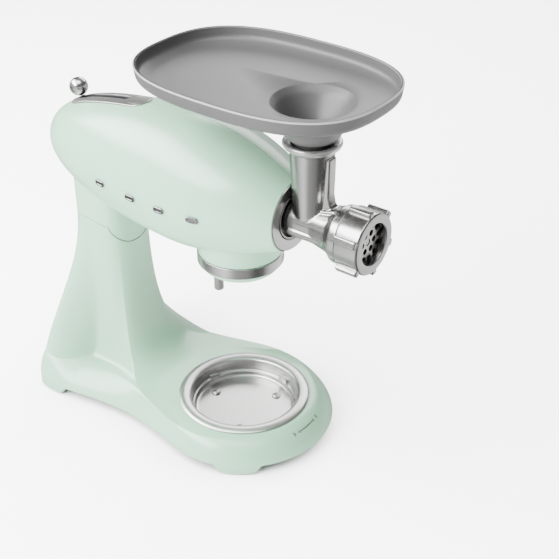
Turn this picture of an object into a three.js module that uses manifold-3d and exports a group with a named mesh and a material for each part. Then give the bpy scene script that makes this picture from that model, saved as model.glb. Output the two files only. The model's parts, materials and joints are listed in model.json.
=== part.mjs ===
// Tilt-head kitchen machine with a meat-grinder attachment, as an assembly of separate pieces.
// Millimetres, +Z up, +X towards the grinder, +Y to the machine's left.
// The table is at z = 0 and the whole object's box is centred on x = 0, y = 0.

import * as THREE from 'three';
import Module from 'manifold-3d';
import { mergeVertices } from 'three/addons/utils/BufferGeometryUtils.js';

const wasm = await Module();
wasm.setup();

// ---------------------------------------------------------------- driving dimensions

const GAP = 0.3; // clearance between pieces that touch
const BOWL_X = 47; // planetary axis and centre of the base's round front lobe

const HUB_Z = 300.8; // height of the front drive axis
const HEAD = {
  tail: -221, widest: -3, front: 120, radius: 74.4, noseRadius: 40.8,
  axisZ: 304.6, tailRise: 3.8, wall: 3, flatten: 1.4,
};
const NECK = { x: -148.5, a: 37, b: 35.5, power: 3, topZ: 222 };
const PIVOT = { x: -170, z: 211 }; // head tilt axis
const KNUCKLE = { radius: 17.5, halfWidth: 26 };
const BASE = {
  lobeRadius: 105, halfWidth: 105, rearX: -204, cornerRadius: 22, waistX: -50, waistY: 90,
  deckZ: 37, slopeEndZ: 48, bevelAtLobe: 27, bevelAtWaist: 38, archZ: 12, footZ: 2, wall: 3,
};
const FLARE_REACH = 70; // how far the neck's flare runs out over the deck
const BEVEL_FULLNESS = { lobe: 1.5, side: 2 }; // 1 is a straight bevel, 2 an ellipse
const FOOT = { radius: 9, top: 10.7, front: [96, 73], rear: [-172, 80] };
const COVER = { inset: 7, bottom: 11, thickness: 1.8 };
const SEAT = {
  rimRadius: 77, rimZ: 37.3, lipRadius: 62, floorRadius: 59, floorZ: 16, thickness: 1.4,
  screwCircle: 42, screwAngles: [62, 182, 302], screwRadius: 2, screwHeadRadius: 4.8,
};
const HINGE = { pinRadius: 5, pinHalfLength: 33, bushRadius: 8, bushInner: 2, bushOuter: 25.5 };
const INLET = { y: 55, z: 28, bore: 3.5, radius: 7, flangeRadius: 9, flange: 4, depth: 7 };
const PLANET = {
  skirtRadius: 46.5, skirtWall: 1.5, skirtTop: 262, bandRadius: 47.8, bandTop: 236.5, bandHeight: 12,
  capBottom: 211, toolOffset: 27.2, toolAngle: 197, toolRadius: 5.5, toolBottom: 177, crossPinZ: 200,
};
const TOOL_ANGLE = THREE.MathUtils.degToRad(PLANET.toolAngle);
const RING_TEETH = 34;
const PINION_TEETH = 10;
const PLANET_MODULE = (2 * PLANET.toolOffset) / (RING_TEETH - PINION_TEETH);
const BEVEL = { wheelTeeth: 20, pinionTeeth: 10, module: 2.8, inner: 0.68 };
const DRIVE_TEETH = 30;
const MOTOR_TEETH = 9;
const DRIVE_MODULE = 4 / 3;
const MOTOR_Z = HUB_Z + ((DRIVE_TEETH + MOTOR_TEETH) / 2) * DRIVE_MODULE;
const DRIVE_GEAR_X = [-14, -6];
const GEAR_DEPTH = 2.4;
const MOTOR = { rear: -112, front: -46, radius: 32, bore: 23.6 };
const SHAFT_RADIUS = 6;
const BEARING_RADIUS = 12;
const HUB = { ringOuter: 38.8, ringInner: 25.6, face: 120.2, socketRear: 84 };
const THROAT = { x: 141.2, topZ: 394, lipRadius: 30, topRadius: 22.8, lowRadius: 17.6, boreLow: 14 };
const BARREL = {
  rear: 86, shankRadius: 18, shoulder: 122, radius: 20.5, bore: 17.5, flangeRear: 181, flangeRadius: 31,
  threadRear: 190, threadRadius: 29, end: 210,
};
const AUGER = { start: 111, end: 198.5, turns: 3, coreRadius: 8.5, flightHeight: 8.3 };
const KNIFE = { rear: 200, front: 204.4, armHalf: 4.5, reach: 22.5, hubRadius: 9 };
const PLATE = { radius: 25, rear: 205, front: 210.3, holeRadius: 3.4 };
const NUT = { rear: 191, front: 218, radius: 33, opening: 22, lugRadius: 38, lugs: 6, firstLug: 38 };
const TRAY = { x: 84.5, a: 136.5, b: 97.1, power: 2.7, rimZ: 451.7, floorZ: 434, wall: 2.4 };
const BUTTON = {
  radius: 9, z: 158, face: -192.5, collarRadius: 11, collarX: [-181.4, -179], rodRadius: 4, rodEnd: -155.2,
};
const LATCH = { x: -150, z: 170, pinRadius: 2.3, boreRadius: 2.7, halfWidth: 8 };
const LEVER = {
  pivotX: -99.2, pivotZ: 175, tilt: 24, ballRadius: 10.7, ballAt: 209.2, stemRadius: 2.4, stem: [186, 198.2],
};
const SLOT = { x: [-185, -108], halfWidth: 3.6 };
const SPEED_PLATE = { x: -134, length: 114, width: 31, thickness: 1.6 };
const BADGE = { places: [-92, -43, -0.6, 41], z: 300, length: 14, width: 7, height: 2.2 };

// ---------------------------------------------------------------- finishes

function finish(color, roughness, metalness) {
  return new THREE.MeshStandardMaterial({ color, roughness, metalness });
}

const mint = finish(0xcfe3d7, 0.25, 0);
const steel = finish(0xc9cbcc, 0.2, 1);
const castAluminium = finish(0xb9bbbd, 0.3, 1);
const chrome = finish(0xe4e6e8, 0.08, 1);
const greyPlastic = finish(0xa8a8a8, 0.55, 0);
const darkPlastic = finish(0x26282a, 0.5, 0);
const rubber = finish(0x1b1b1c, 0.85, 0);
const brass = finish(0xb59a5a, 0.35, 1);
const copper = finish(0xb8764a, 0.4, 1);
const boardGreen = finish(0x1f5a38, 0.5, 0);

// ---------------------------------------------------------------- solids: build, join, cut

function signedVolume(position, index) {
  const p = (i, k) => position[3 * index[i] + k];
  let volume = 0;
  for (let i = 0; i < index.length; i += 3) {
    volume += p(i, 0) * (p(i + 1, 1) * p(i + 2, 2) - p(i + 1, 2) * p(i + 2, 1));
    volume += p(i, 1) * (p(i + 1, 2) * p(i + 2, 0) - p(i + 1, 0) * p(i + 2, 2));
    volume += p(i, 2) * (p(i + 1, 0) * p(i + 2, 1) - p(i + 1, 1) * p(i + 2, 0));
  }
  return volume;
}

// A closed geometry as a solid: vertices merged, flat triangles dropped, faces pointing out.
function solid(geometry) {
  const bare = new THREE.BufferGeometry();
  bare.setAttribute('position', geometry.attributes.position);
  if (geometry.index) bare.setIndex(geometry.index);
  const merged = mergeVertices(bare, 1e-4);
  const position = new Float32Array(merged.attributes.position.array);
  const all = merged.index.array;
  const kept = [];
  for (let i = 0; i < all.length; i += 3) {
    const [a, b, c] = [all[i], all[i + 1], all[i + 2]];
    if (a !== b && b !== c && c !== a) kept.push(a, b, c);
  }
  if (signedVolume(position, kept) < 0) {
    for (let i = 0; i < kept.length; i += 3) [kept[i], kept[i + 1]] = [kept[i + 1], kept[i]];
  }
  const mesh = new wasm.Mesh({
    numProp: 3, vertProperties: position, triVerts: new Uint32Array(kept),
  });
  return new wasm.Manifold(mesh);
}

const join = (...solids) => solids.reduce((a, b) => a.add(b));
const cut = (body, ...tools) => tools.reduce((a, b) => a.subtract(b), body);

function geometryOf(body) {
  const { vertProperties, triVerts } = body.getMesh();
  const geometry = new THREE.BufferGeometry();
  geometry.setAttribute('position', new THREE.BufferAttribute(vertProperties, 3));
  geometry.setIndex(new THREE.BufferAttribute(triVerts, 1));
  geometry.computeVertexNormals();
  return geometry;
}

const machine = new THREE.Group();

function piece(name, material, body) {
  const mesh = new THREE.Mesh(geometryOf(body), material);
  mesh.name = name;
  machine.add(mesh);
  return mesh;
}

// ---------------------------------------------------------------- shapes

const points = (list) => list.map(([x, y]) => new THREE.Vector2(x, y));

function box(x0, x1, y0, y1, z0, z1) {
  const geometry = new THREE.BoxGeometry(x1 - x0, y1 - y0, z1 - z0);
  return solid(geometry.translate((x0 + x1) / 2, (y0 + y1) / 2, (z0 + z1) / 2));
}

// A solid of revolution about a vertical axis, from [radius, height] points.
// A ring's points close on themselves; a full solid's start and end on the axis.
function turned(profile, segments = 24, { closed = false } = {}) {
  const list = closed ? [...profile, profile[0]] : profile;
  const geometry = new THREE.LatheGeometry(points(list), segments);
  return solid(geometry.rotateX(Math.PI / 2));
}

const rod = (radius, z0, z1, segments = 12) => turned([[0, z0], [radius, z0], [radius, z1], [0, z1]], segments);

function ring(inner, outer, z0, z1, segments = 24) {
  return turned([[inner, z0], [outer, z0], [outer, z1], [inner, z1]], segments, { closed: true });
}

const alongX = (body) => body.rotate([0, 90, 0]); // heights become x
const alongY = (body) => body.rotate([-90, 0, 0]); // heights become y
const onHub = (body) => alongX(body).translate([0, 0, HUB_Z]);
const onPivot = (body) => alongY(body).translate([PIVOT.x, 0, PIVOT.z]);
const onBowl = (body) => body.translate([BOWL_X, 0, 0]);

// A closed skin over matching rings of points, with a flat fan at each end.
function loft(rings) {
  const count = rings[0].length;
  const position = rings.flat().flatMap((v) => [v.x, v.y, v.z]);
  const index = [];
  for (let r = 0; r + 1 < rings.length; r += 1) {
    for (let i = 0; i < count; i += 1) {
      const j = (i + 1) % count;
      const [a, b, c, d] = [r * count + i, r * count + j, (r + 1) * count + j, (r + 1) * count + i];
      index.push(a, b, c, a, c, d);
    }
  }
  for (const [r, turn] of [[0, true], [rings.length - 1, false]]) {
    const centre = rings[r].reduce((s, v) => s.add(v), new THREE.Vector3()).divideScalar(count);
    const middle = position.length / 3;
    position.push(centre.x, centre.y, centre.z);
    for (let i = 0; i < count; i += 1) {
      const [a, b] = [r * count + i, r * count + ((i + 1) % count)];
      if (turn) index.push(b, a, middle);
      else index.push(a, b, middle);
    }
  }
  const geometry = new THREE.BufferGeometry();
  geometry.setAttribute('position', new THREE.Float32BufferAttribute(position, 3));
  geometry.setIndex(index);
  return solid(geometry);
}

// A flat outline pushed from z = 0 up to the given height.
function plate(outline, height) {
  return solid(new THREE.ExtrudeGeometry(new THREE.Shape(points(outline)), {
    depth: height, bevelEnabled: false,
  }));
}

// A side profile of [x, z] points, as wide as the given half-width to both sides of y = 0.
function sideSlab(outline, halfWidth) {
  return plate(outline, 2 * halfWidth).rotate([90, 0, 0]).translate([0, halfWidth, 0]);
}

// A front profile of [y, z] points, from x0 to x1.
function frontSlab(outline, x0, x1) {
  return plate(outline, x1 - x0).rotate([90, 0, 90]).translate([x0, 0, 0]);
}

function superellipse(a, b, power, angle) {
  const c = Math.cos(angle);
  const s = Math.sin(angle);
  const k = (Math.abs(c / a) ** power + Math.abs(s / b) ** power) ** (-1 / power);
  return [k * c, k * s];
}

function ovalRing(x, a, b, power, z, count) {
  return Array.from({ length: count }, (_, i) => {
    const [dx, dy] = superellipse(a, b, power, (2 * Math.PI * i) / count);
    return new THREE.Vector3(x + dx, dy, z);
  });
}

// Tooth outline of a spur gear: straight flanks, thinned for running clearance.
function gearOutline(teeth, pitchRadius, { depth, phase, thin }) {
  const root = pitchRadius - depth * 0.55;
  const tip = pitchRadius + depth * 0.42;
  const step = (2 * Math.PI) / teeth;
  const marks = [[root, -thin * 0.75], [tip, -thin * 0.32], [tip, thin * 0.32], [root, thin * 0.75]];
  return Array.from({ length: teeth }, (_, i) => marks.map(([r, f]) => {
    const angle = phase + (i + f) * step;
    return [r * Math.cos(angle), r * Math.sin(angle)];
  })).flat();
}

// ---------------------------------------------------------------- motor head

function headRadius(x) {
  if (x < HEAD.widest) {
    const u = (HEAD.widest - x) / (HEAD.widest - HEAD.tail);
    return HEAD.radius * Math.max(1 - u ** 1.7, 0) ** (1 / 2.55);
  }
  const v = (x - HEAD.widest) / (HEAD.front - HEAD.widest);
  return HEAD.radius - (HEAD.radius - HEAD.noseRadius) * v ** 1.9;
}

function headCentreZ(x) {
  if (x < HEAD.widest) {
    return HEAD.axisZ + HEAD.tailRise * ((HEAD.widest - x) / (HEAD.widest - HEAD.tail)) ** 2;
  }
  return HEAD.axisZ - (HEAD.axisZ - HUB_Z) * ((x - HEAD.widest) / (HEAD.front - HEAD.widest)) ** 3;
}

// The head's egg shape, moved in or out by an offset.
function headForm(offset, rings = 14, count = 28, frontExtra = 0) {
  const tail = HEAD.tail - offset;
  const front = HEAD.front + frontExtra;
  const list = [];
  for (let r = 0; r <= rings; r += 1) {
    const t = r / rings;
    const x = tail + (front - tail) * (1 - Math.cos(Math.PI * t * 0.62)) / (1 - Math.cos(Math.PI * 0.62));
    const along = HEAD.tail + (x - tail) * (HEAD.front - HEAD.tail) / (front - tail);
    const radius = Math.max(headRadius(along) + offset, 0.4);
    list.push(Array.from({ length: count }, (_, i) => {
      const angle = (2 * Math.PI * (i + 0.5)) / count;
      const rise = Math.sin(angle) + HEAD.flatten * Math.max(-Math.sin(angle) - 0.7, 0) ** 2;
      return new THREE.Vector3(x, radius * Math.cos(angle), headCentreZ(along) + radius * rise);
    }));
  }
  return loft(list);
}

const headOuter = headForm(0);
const headGrown = headForm(GAP);
const headInner = headForm(-HEAD.wall, 9, 18, -HEAD.wall);

// ---------------------------------------------------------------- neck: parting between stand and head

const neckRing = (z, scale = 1, grow = 0) => ovalRing(
  NECK.x, NECK.a * scale + grow, NECK.b * scale + grow, NECK.power, z, 28,
);

const REAR_RISE = Math.tan((40 * Math.PI) / 180); // the bracket's rear line, clear of the stand at full tilt

// Space of the tilting bracket, widened by a gap; the stand keeps what lies under it.
function bracketZone(gap) {
  const [rear, front, top] = [-260, -40, 330];
  const rearLine = gap > 0
    ? [[rear, PIVOT.z - gap], [PIVOT.x, PIVOT.z - gap]]
    : [[rear, PIVOT.z + (PIVOT.x - rear) * REAR_RISE], [PIVOT.x - GAP, PIVOT.z]];
  const side = sideSlab([
    ...rearLine, [PIVOT.x, NECK.topZ - gap], [-150, NECK.topZ - gap], [-103, 213 - gap], [front, 213 - gap],
    [front, top], [rear, top],
  ], 60);
  const half = [
    [0, 192 - gap], [14, 195.5 - gap], [22 + gap, 200 - gap], [29 + gap, 208 - gap],
    [31 + gap, 216], [31 + gap, 226],
  ];
  const mirrored = half.slice(1).reverse().map(([y, z]) => [-y, z]);
  const tongue = frontSlab([...mirrored, ...half], -128 - 4 * gap, -60);
  return join(side, tongue);
}

function knuckleForm(gap) {
  const w = KNUCKLE.halfWidth + gap;
  const r = KNUCKLE.radius + gap;
  return onPivot(turned([
    [0, -w], [r - 5, -w], [r - 1, -18], [r, -8], [r, 8], [r - 1, 18], [r - 5, w], [0, w],
  ], 16));
}

// ---------------------------------------------------------------- stand

// Half of the base outline, from the front of the lobe round to the middle of the rear.
function halfOutline(inset, count) {
  const curve = new THREE.Path();
  const r = BASE.lobeRadius - inset;
  const w = BASE.halfWidth - inset;
  const rear = BASE.rearX + inset;
  const c = BASE.cornerRadius - inset * 0.5;
  const lobeEnd = (101 * Math.PI) / 180;
  const endX = BOWL_X + r * Math.cos(lobeEnd);
  const endY = r * Math.sin(lobeEnd);
  const waistY = BASE.waistY - inset;
  curve.absarc(BOWL_X, 0, r, 0, lobeEnd, false);
  curve.bezierCurveTo(endX - 24, endY - 4, BASE.waistX + 22, waistY, BASE.waistX - 12, waistY);
  curve.bezierCurveTo(BASE.waistX - 50, waistY, rear + c + 42, w - 4, rear + c + 16, w - 1);
  curve.bezierCurveTo(rear + c - 4, w, rear + 4, w - 2, rear + 2, w - c + 8);
  curve.bezierCurveTo(rear, w - c - 8, rear - 1, 30, rear - 1, 0);
  return curve.getSpacedPoints(count);
}

function fullOutline(inset, count) {
  const half = halfOutline(inset, count);
  const mirrored = half.slice(1, -1).reverse().map((p) => new THREE.Vector2(p.x, -p.y));
  return [...half, ...mirrored];
}

// Skirt edge height: near the table at four feet, arched between them.
function skirtZ(p) {
  const angle = Math.atan2(Math.abs(p.y), p.x - BOWL_X) * 180 / Math.PI;
  const onFrontFoot = p.x > BOWL_X && angle > 43 && angle < 69;
  const onRearFoot = p.x < -158 && Math.abs(p.y) > 60;
  return onFrontFoot || onRearFoot ? BASE.footZ : BASE.archZ;
}

// The stand's form: a neck that flares into the deck, then over the edge and down the skirt.
// Towards the lobe the flare is tight; towards the rear corners it falls in one long slope.
function standForm(flareSteps, bevelSteps, count) {
  const { lerp, smoothstep, clamp, mapLinear } = THREE.MathUtils;
  const frontFlare = new THREE.CubicBezierCurve(...points([
    [0, NECK.topZ], [2, 130], [4, BASE.deckZ], [FLARE_REACH, BASE.deckZ],
  ]));
  const sideFlare = new THREE.CubicBezierCurve(...points([
    [0, NECK.topZ], [0.04, 150], [0.78, 116], [0.89, BASE.slopeEndZ],
  ]));
  const spokes = fullOutline(0, count).map((p) => {
    const angle = Math.atan2(p.y, p.x - NECK.x);
    const [nx, ny] = superellipse(NECK.a, NECK.b, NECK.power, angle);
    const neck = new THREE.Vector2(NECK.x + nx, ny);
    const toSide = smoothstep(Math.abs(angle), 1.5, 2.3);
    const reach = p.distanceTo(neck);
    const { waistX, bevelAtWaist, bevelAtLobe } = BASE;
    const bevel = mapLinear(clamp(p.x, waistX, BOWL_X), waistX, BOWL_X, bevelAtWaist, bevelAtLobe);
    const over = lerp(Math.min(bevel, reach * 0.7), 0.09 * reach, toSide);
    const fullness = lerp(BEVEL_FULLNESS.lobe, BEVEL_FULLNESS.side, toSide);
    const edgeZ = lerp(BASE.deckZ, BASE.slopeEndZ, toSide);
    const tight = Math.min(1, (reach - over - 2) / FLARE_REACH);
    return { p, neck, reach, toSide, over, fullness, edgeZ, tight };
  });
  const ringAt = (distance, height) => spokes.map((spoke) => {
    const f = distance(spoke) / spoke.reach;
    const { p, neck } = spoke;
    return new THREE.Vector3(neck.x + (p.x - neck.x) * f, neck.y + (p.y - neck.y) * f, height(spoke));
  });
  const rings = [];
  for (let i = 0; i <= flareSteps; i += 1) {
    const front = frontFlare.getPoint(i / flareSteps);
    const side = sideFlare.getPoint(i / flareSteps);
    rings.push(ringAt(
      ({ reach, toSide, tight }) => lerp(front.x * tight, side.x * reach, toSide),
      ({ toSide }) => lerp(front.y, side.y, toSide),
    ));
  }
  const low = BASE.archZ + 1;
  for (let i = 0; i <= bevelSteps; i += 1) {
    const angle = (Math.PI / 2) * (i / bevelSteps);
    rings.push(ringAt(
      ({ reach, over, fullness }) => reach - over * (1 - Math.sin(angle) ** (2 / fullness)),
      ({ edgeZ, fullness }) => low + (edgeZ - low) * Math.cos(angle) ** (2 / fullness),
    ));
  }
  rings.push(ringAt(({ reach }) => reach, ({ p }) => skirtZ(p)));
  return loft(rings);
}

// The stand's inside: an open tube up the neck over a low hollow under the deck.
function standHollow() {
  const { wall } = BASE;
  const tube = loft([
    neckRing(10, 1, -wall), neckRing(NECK.topZ + 10, 1, -wall),
  ]);
  const under = loft([[3, -4], [3, 13], [24, 30]].map(([inset, z]) => (
    fullOutline(wall + inset, 16).map((p) => new THREE.Vector3(p.x, p.y, z))
  )));
  return join(tube, under);
}

function makeStand() {
  const housing = cut(
    standForm(7, 4, 22),
    standHollow(),
    bracketZone(GAP),
    knuckleForm(0.5),
    onBowl(rod(SEAT.rimRadius - 7, 5, 60, 28)),
    alongX(rod(BUTTON.radius + GAP, -230, -175, 20)).translate([0, 0, BUTTON.z]),
    alongX(rod(INLET.radius + GAP, -215, -180)).translate([0, INLET.y, INLET.z]),
    onPivot(rod(HINGE.pinRadius + GAP, -HINGE.pinHalfLength - 0.5, HINGE.pinHalfLength + 0.5)),
  );
  piece('base_housing', mint, housing);

  const screwPlaces = SEAT.screwAngles.map((degrees) => {
    const angle = THREE.MathUtils.degToRad(degrees);
    return [BOWL_X + SEAT.screwCircle * Math.cos(angle), SEAT.screwCircle * Math.sin(angle), 0];
  });
  const screwHoles = screwPlaces.map((place) => rod(SEAT.screwRadius + GAP, 5, 25, 10).translate(place));

  const coverOutline = fullOutline(COVER.inset, 16).map((p) => [p.x, p.y]);
  const cover = plate(coverOutline, COVER.thickness).translate([0, 0, COVER.bottom]);
  piece('base_cover', darkPlastic, cut(cover, ...screwHoles));

  for (const end of ['front', 'rear']) {
    for (const [side, sign] of [['left', 1], ['right', -1]]) {
      const [x, y] = FOOT[end];
      piece(`foot_${end}_${side}`, rubber, rod(FOOT.radius, 0, FOOT.top).translate([x, sign * y, 0]));
    }
  }

  const { rimRadius, rimZ, lipRadius, floorRadius, floorZ } = SEAT;
  const seatZ = floorZ + SEAT.thickness; // top of the seat's flat floor
  const dish = turned([
    [0, floorZ], [floorRadius + 0.5, floorZ], [lipRadius - 0.6, floorZ + 2], [lipRadius + 1.2, rimZ],
    [rimRadius - 0.4, rimZ], [rimRadius, rimZ + 1.1], [rimRadius - 5, rimZ + 2.7],
    [lipRadius + 2.5, rimZ + 2.2], [lipRadius, rimZ + 0.3],
    [floorRadius + 1, seatZ + 1.8], [floorRadius - 1, seatZ], [0, seatZ],
  ], 30);
  piece('bowl_seat', steel, cut(onBowl(dish), ...screwHoles));
  const { screwRadius: shank, screwHeadRadius: head } = SEAT;
  const screw = turned([
    [0, 9], [shank, 9], [shank, seatZ + GAP], [head, seatZ + GAP],
    [head - 0.2, seatZ + 1.6], [head - 1.6, seatZ + 2.2], [0, seatZ + 2.2],
  ], 12);
  screwPlaces.forEach((place, i) => piece(`bowl_seat_screw_${i + 1}`, steel, screw.translate(place)));

  piece('hinge_pin', steel, onPivot(rod(HINGE.pinRadius, -HINGE.pinHalfLength, HINGE.pinHalfLength)));

  const wallX = BASE.rearX - 1; // outer face of the rear skirt
  const { bore, radius, flangeRadius, flange, depth } = INLET;
  const inlet = turned([
    [bore, wallX - flange], [flangeRadius, wallX - flange], [flangeRadius, wallX - GAP], [radius, wallX - GAP],
    [radius, wallX + depth], [bore, wallX + depth],
  ], 16, { closed: true });
  piece('cord_inlet', rubber, alongX(inlet).translate([0, INLET.y, INLET.z]));

  piece('control_board', boardGreen, join(
    box(-172, -115, -40, 30, 17, 18.6),
    box(-166, -146, -30, -12, 18, 28),
    box(-140, -128, -32, -20, 18, 29),
    box(-164, -152, 5, 22, 18, 26),
  ));
}

// ---------------------------------------------------------------- head release: button, spring, latch

function springForm(x0, x1, radius, wire, turns) {
  const steps = turns * 8;
  const rings = Array.from({ length: steps + 1 }, (_, i) => {
    const angle = (2 * Math.PI * turns * i) / steps;
    const x = x0 + wire + ((x1 - x0 - 2 * wire) * i) / steps;
    return Array.from({ length: 5 }, (__, k) => {
      const a = (2 * Math.PI * k) / 5;
      const r = radius + wire * Math.cos(a);
      return new THREE.Vector3(x + wire * Math.sin(a), r * Math.cos(angle), BUTTON.z + r * Math.sin(angle));
    });
  });
  return loft(rings);
}

function makeRelease() {
  const { radius, face, z, collarRadius, collarX, rodRadius, rodEnd } = BUTTON;
  const button = turned([
    [0, face], [radius - 2, face], [radius, face + 2], [radius, collarX[0]], [collarRadius, collarX[0]],
    [collarRadius, collarX[1]], [rodRadius, collarX[1]], [rodRadius, rodEnd], [0, rodEnd],
  ], 20);
  piece('release_button', chrome, alongX(button).translate([0, 0, z]));
  piece('release_spring', steel, springForm(-178.7, -168.3, 6.2, 0.8, 4));
  const onLatch = (body) => alongY(body).translate([LATCH.x, 0, LATCH.z]);
  const latchBore = onLatch(rod(LATCH.boreRadius, -20, 20, 12));
  const lug = box(-166, -144, 10, 13, 163, 177);
  piece('latch_bracket', steel, cut(
    join(box(-168, -165, -24, 24, 148, 185), lug, lug.mirror([0, 1, 0])),
    alongX(rod(rodRadius + 0.5, -170, -160)).translate([0, 0, z]),
    latchBore,
  ));
  piece('latch_pin', steel, onLatch(rod(LATCH.pinRadius, -14, 14, 12)));
  const hook = sideSlab([
    [-153, 155], [-147, 155], [-147, 188], [-143.5, 190], [-143.5, 197], [-153, 197],
  ], LATCH.halfWidth);
  piece('head_latch', steel, cut(hook, latchBore));
}

// ---------------------------------------------------------------- head: casings, bracket, trim

function capsule(x, z, length, width, steps = 5) {
  const straight = length / 2 - width / 2;
  const outline = [];
  for (const side of [1, -1]) {
    for (let i = 0; i <= steps; i += 1) {
      const angle = -Math.PI / 2 + (Math.PI * i) / steps;
      outline.push([
        x + side * (straight + (width / 2) * Math.cos(angle)),
        z + side * (width / 2) * Math.sin(angle),
      ]);
    }
  }
  return outline;
}

function makeHead() {
  const slot = box(...SLOT.x, -SLOT.halfWidth, SLOT.halfWidth, 320, 400);
  const plugHole = loft([neckRing(200, 0.8, GAP), neckRing(300, 0.8, GAP)]);
  const shell = cut(
    headOuter,
    headInner,
    slot,
    plugHole,
    onBowl(rod(PLANET.skirtRadius + GAP, 200, 300, 28)),
    onHub(rod(HUB.ringOuter + GAP, 100, 130, 28)),
  );
  const half = box(-300, 300, GAP / 2, 200, 0, 600);
  piece('head_shell_left', mint, shell.intersect(half));
  piece('head_shell_right', mint, shell.intersect(half.mirror([0, 1, 0])));

  const outside = cut(loft([neckRing(185), neckRing(300)]).intersect(bracketZone(0)), headGrown);
  const plug = loft([neckRing(226, 0.8), neckRing(266, 0.8)]);
  const striker = join(box(-136, -133, -8, 8, 188, 224), box(-143, -133, -8, 8, 188, 192));
  const bushSeat = onPivot(rod(HINGE.bushRadius + GAP, -40, 40, 20));
  piece('neck_bracket', mint, cut(join(outside, plug, knuckleForm(0), striker), bushSeat));
  const bush = ring(HINGE.pinRadius + GAP, HINGE.bushRadius, HINGE.bushInner, HINGE.bushOuter, 16);
  piece('hinge_bush_left', brass, onPivot(bush));
  piece('hinge_bush_right', brass, onPivot(bush.mirror([0, 0, 1])));

  const plateSkin = cut(headForm(SPEED_PLATE.thickness), headForm(GAP), slot);
  const plateOutline = capsule(SPEED_PLATE.x, 0, SPEED_PLATE.length, SPEED_PLATE.width, 8);
  piece('speed_plate', steel, plateSkin.intersect(plate(plateOutline, 200).translate([0, 0, 300])));

  const rightSide = box(-250, 130, -120, 0, 250, 350);
  const barSkin = cut(headForm(BADGE.height), headForm(GAP + 0.1)).intersect(rightSide);
  BADGE.places.forEach((x, i) => {
    const area = sideSlab(capsule(x, BADGE.z, BADGE.length, BADGE.width), 120);
    piece(`badge_bar_${i + 1}`, chrome, barSkin.intersect(area));
  });

  const { ringInner, ringOuter, face, socketRear } = HUB;
  piece('hub_ring', steel, onHub(ring(ringInner, ringOuter, 116, face, 28)));
  const [socketOuter, socketInner] = [ringInner - 0.4, ringInner - 2.2];
  piece('hub_socket', steel, onHub(turned([
    [SHAFT_RADIUS + 3, socketRear], [socketOuter, socketRear], [socketOuter, face], [socketInner, face],
    [socketInner, face - 10], [BARREL.shankRadius + GAP, face - 10],
    [BARREL.shankRadius + GAP, socketRear + 2], [SHAFT_RADIUS + 3, socketRear + 2],
  ], 28, { closed: true })));
  makeGearbox();
}

function makeGearbox() {
  const bulkhead = alongX(rod(50, -32, -27, 24)).translate([0, 0, 303]);
  const frontDisc = alongX(rod(44, 77, 82, 24)).translate([0, 0, 302]);
  const frontWall = frontDisc.intersect(box(70, 90, -60, 60, 266, 400));
  const floor = box(-28, 79, -34, 34, 266, 270);
  const bearingSeat = onHub(rod(BEARING_RADIUS + GAP, -40, 90, 20));
  const carrierSeat = onBowl(rod(BEARING_RADIUS + GAP, 260, 275, 20));
  const motorHole = alongX(rod(6.5, -40, -20)).translate([0, 0, MOTOR_Z]);
  const frame = cut(join(bulkhead, frontWall, floor), bearingSeat, carrierSeat, motorHole);
  piece('gearbox_frame', castAluminium, frame);
  const bearing = (x0, x1) => onHub(ring(SHAFT_RADIUS + GAP, BEARING_RADIUS, x0, x1, 16));
  piece('drive_bearing_rear', steel, bearing(-32, -27));
  piece('drive_bearing_front', steel, bearing(77, 82));
  piece('carrier_bearing', steel, onBowl(ring(8.5, BEARING_RADIUS, 265, 270, 16)));

  const { skirtRadius, skirtWall, skirtTop, bandTop } = PLANET;
  const skirt = turned([
    [skirtRadius - skirtWall, bandTop + GAP], [skirtRadius, bandTop + GAP], [skirtRadius, skirtTop],
    [14, skirtTop], [14, skirtTop - 3], [skirtRadius - skirtWall, skirtTop - 3],
  ], 28, { closed: true });
  piece('planetary_skirt', mint, onBowl(skirt));

  const ringPitch = (RING_TEETH * PLANET_MODULE) / 2 + GAP / 2;
  const space = gearOutline(RING_TEETH, ringPitch, { depth: 2 * PLANET_MODULE, phase: TOOL_ANGLE, thin: 0.58 });
  const ringGear = cut(rod(44.6, 240, 250, 46), plate(space, 20).translate([0, 0, 235]));
  piece('ring_gear', steel, onBowl(ringGear));

  const stator = ring(MOTOR.bore, MOTOR.radius, MOTOR.rear, MOTOR.front, 20);
  piece('motor_stator', copper, alongX(stator).translate([0, 0, MOTOR_Z]));
}

// ---------------------------------------------------------------- speed lever

function makeLever() {
  const place = (body) => body.rotate([0, -LEVER.tilt, 0]).translate([LEVER.pivotX, 0, LEVER.pivotZ]);
  piece('lever_stem', chrome, place(rod(LEVER.stemRadius, ...LEVER.stem, 12)));
  const ball = new THREE.SphereGeometry(LEVER.ballRadius, 16, 9);
  ball.rotateX(Math.PI / 2);
  ball.translate(0, 0, LEVER.ballAt);
  const seat = rod(LEVER.stemRadius + GAP, 180, 201, 12);
  piece('lever_ball', chrome, place(cut(solid(ball), seat)));
}

// ---------------------------------------------------------------- planetary drive and tool shaft

const toolPlace = [
  BOWL_X + PLANET.toolOffset * Math.cos(TOOL_ANGLE), PLANET.toolOffset * Math.sin(TOOL_ANGLE), 0,
];

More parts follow.
